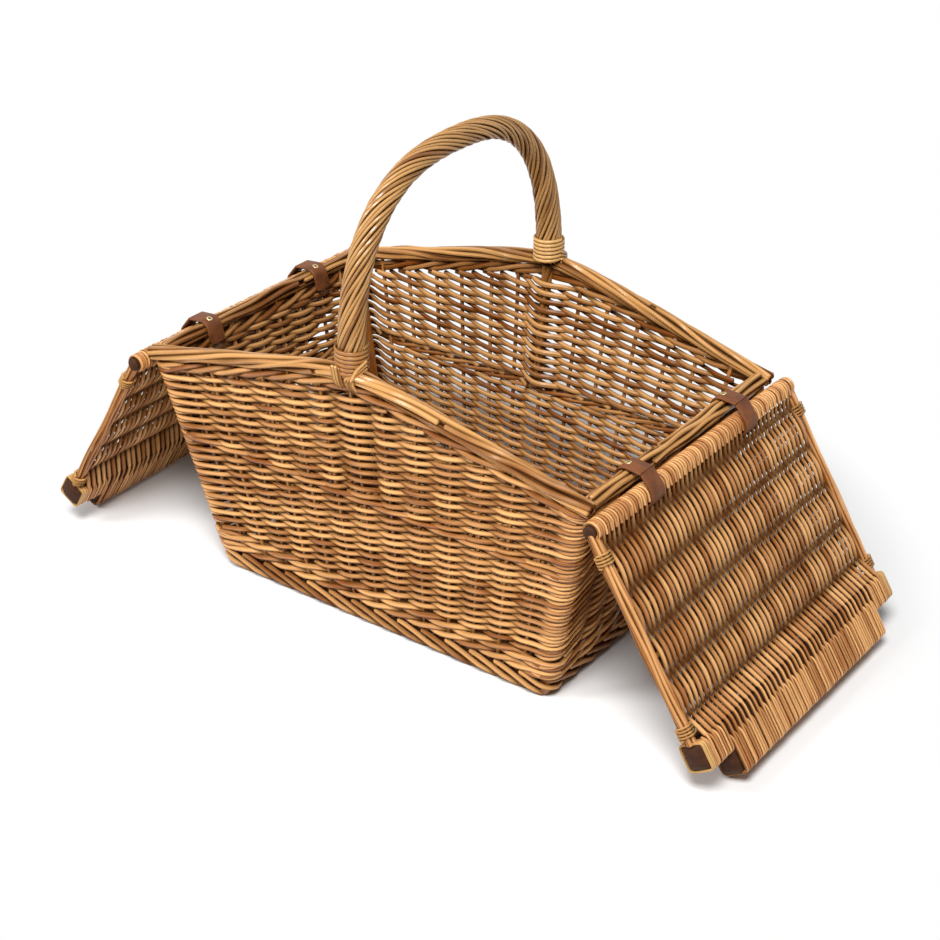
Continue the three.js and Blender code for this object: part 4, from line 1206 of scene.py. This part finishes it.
eyelet_brass = brass_finish()
bead = np.linspace(0, np.pi - np.arcsin(EYELET_FLOOR / EYELET_RISE), 9)
bead_radius = (EYELET + EYELET_HOLE) / 2 + (EYELET - EYELET_HOLE) / 2 * np.cos(bead)
radius = np.concatenate([[EYELET_AXIS, EYELET], bead_radius, [EYELET_HOLE * HOLE_STEP, EYELET_AXIS]])
height = np.concatenate([[EYELET_SUNK] * 2, EYELET_RISE * np.sin(bead), [EYELET_FLOOR] * 2])
for end, sign in (("right", 1), ("left", -1)):
    axis = np.array([sign * np.cos(EYELET_TURN), 0, np.sin(EYELET_TURN)])
    for side, place in STRAP_PLACES:
        seat = np.array([sign * RIM_HALF_LENGTH, place, END_RIM]) + axis * EYELET_SEAT
        eyelet = turned_piece(f"rivet_{end}_{side}_eyelet", radius, height, seat, axis, eyelet_brass)
        dress(eyelet, "basket", "brass", f"rivet_{end}_{side}")

# Floor, light and camera. A plain white studio floor that fades into white light away from the basket,
# one large soft lamp high in front of it and a weaker one at the front left.

SKY = 0.16
FLOOR_HALF = 6.0
FLOOR_CORNERS = ((-1, -1, 0), (1, -1, 0), (1, 1, 0), (-1, 1, 0))
FLOOR_WHITE = (0.78, 0.78, 0.78, 1)
FADE_TURN = np.radians(126.87)
FADE_REACH = (0.50, 0.42, 1.0)
FADE_START = 0.90
FADE_END = 1.10
WHITE = (1, 1, 1, 1)
LAMP_AIM = (0, 0, 0.15)
EYE = (0.95306, -1.25194, 0.99600)
AZIMUTH = np.radians(36.853)
ELEVATION = np.radians(29.384)
ROLL = np.radians(-0.196)
FOCAL_PIXELS = 1962.06
IMAGE_PIXELS = 940
SENSOR = 36


def seen_directly(tree):
    """One for rays that show a surface to the camera: straight, mirrored or let through."""
    path = add_node(tree, "ShaderNodeLightPath").outputs
    total = sum_of(tree, path["Is Glossy Ray"], 1.0, path["Is Camera Ray"])
    return sum_of(tree, path["Is Transmission Ray"], 1.0, total, clamp=True)


def show_mixed(tree, share, first, second, output):
    """The output shows the second shader by a share and the first one for the rest."""
    both = add_node(tree, "ShaderNodeMixShader", i0=share, i1=first.outputs[0], i2=second.outputs[0])
    tree.links.new(both.outputs[0], tree.nodes[output].inputs["Surface"])


world = bpy.data.worlds.new("studio")
world.use_nodes = True
tree = world.node_tree
lighting = tree.nodes["Background"]
lighting.inputs["Color"].default_value = WHITE
lighting.inputs["Strength"].default_value = SKY
backdrop = add_node(tree, "ShaderNodeBackground", Color=WHITE, Strength=1.0)
show_mixed(tree, seen_directly(tree), lighting, backdrop, "World Output")
bpy.context.scene.world = world

floor_paint, tree, shader = new_finish("floor_white")
shader["Base Color"].default_value = FLOOR_WHITE
shader["Roughness"].default_value = 0.9
place = add_node(tree, "ShaderNodeTexCoord").outputs["Object"]
oval = add_node(tree, "ShaderNodeMapping", {"vector_type": "TEXTURE"}, Vector=place,
                Rotation=(0, 0, FADE_TURN), Scale=FADE_REACH).outputs["Vector"]
distance = add_node(tree, "ShaderNodeVectorMath", {"operation": "LENGTH"}, i0=oval).outputs["Value"]
fade = add_node(tree, "ShaderNodeMapRange", {"interpolation_type": "SMOOTHSTEP"}, Value=distance,
                From_Min=FADE_START, From_Max=FADE_END).outputs["Result"]
share = sum_of(tree, fade, seen_directly(tree), 0.0)
glow = add_node(tree, "ShaderNodeEmission", Color=WHITE, Strength=1.0)
show_mixed(tree, share, tree.nodes["Principled BSDF"], glow, "Material Output")
floor_mesh = bpy.data.meshes.new("floor")
floor_mesh.from_pydata(np.array(FLOOR_CORNERS) * FLOOR_HALF, [], [(0, 1, 2, 3)])
floor_mesh.materials.append(floor_paint)
floor = in_scene("floor", floor_mesh)


def lamp(name, place, size, power):
    """A square soft lamp that looks at the basket."""
    data = bpy.data.lights.new(name, "AREA")
    data.size = size
    data.energy = power
    light = in_scene(name, data)
    light.location = place
    light.rotation_euler = (Vector(LAMP_AIM) - Vector(place)).to_track_quat("-Z", "Y").to_euler()


lamp("high_light", place=(0.95, -1.75, 3.05), size=1.2, power=155)
lamp("left_light", place=(-1.35, -2.20, 2.30), size=0.9, power=55)

camera_data = bpy.data.cameras.new("camera")
camera_data.sensor_width = SENSOR
camera_data.lens = FOCAL_PIXELS / IMAGE_PIXELS * SENSOR
camera = in_scene("camera", camera_data)
camera.location = EYE
level_reach = np.cos(ELEVATION)
back = Vector((np.sin(AZIMUTH) * level_reach, -np.cos(AZIMUTH) * level_reach, np.sin(ELEVATION)))
unrolled = (-back).to_track_quat("-Z", "Y").to_matrix()
right = unrolled.col[0] * np.cos(ROLL) + unrolled.col[1] * np.sin(ROLL)
upward = unrolled.col[1] * np.cos(ROLL) - unrolled.col[0] * np.sin(ROLL)
camera.rotation_euler = Matrix((right, upward, back)).transposed().to_euler()
bpy.context.scene.camera = camera
bpy.context.scene.view_settings.view_transform = "Standard"
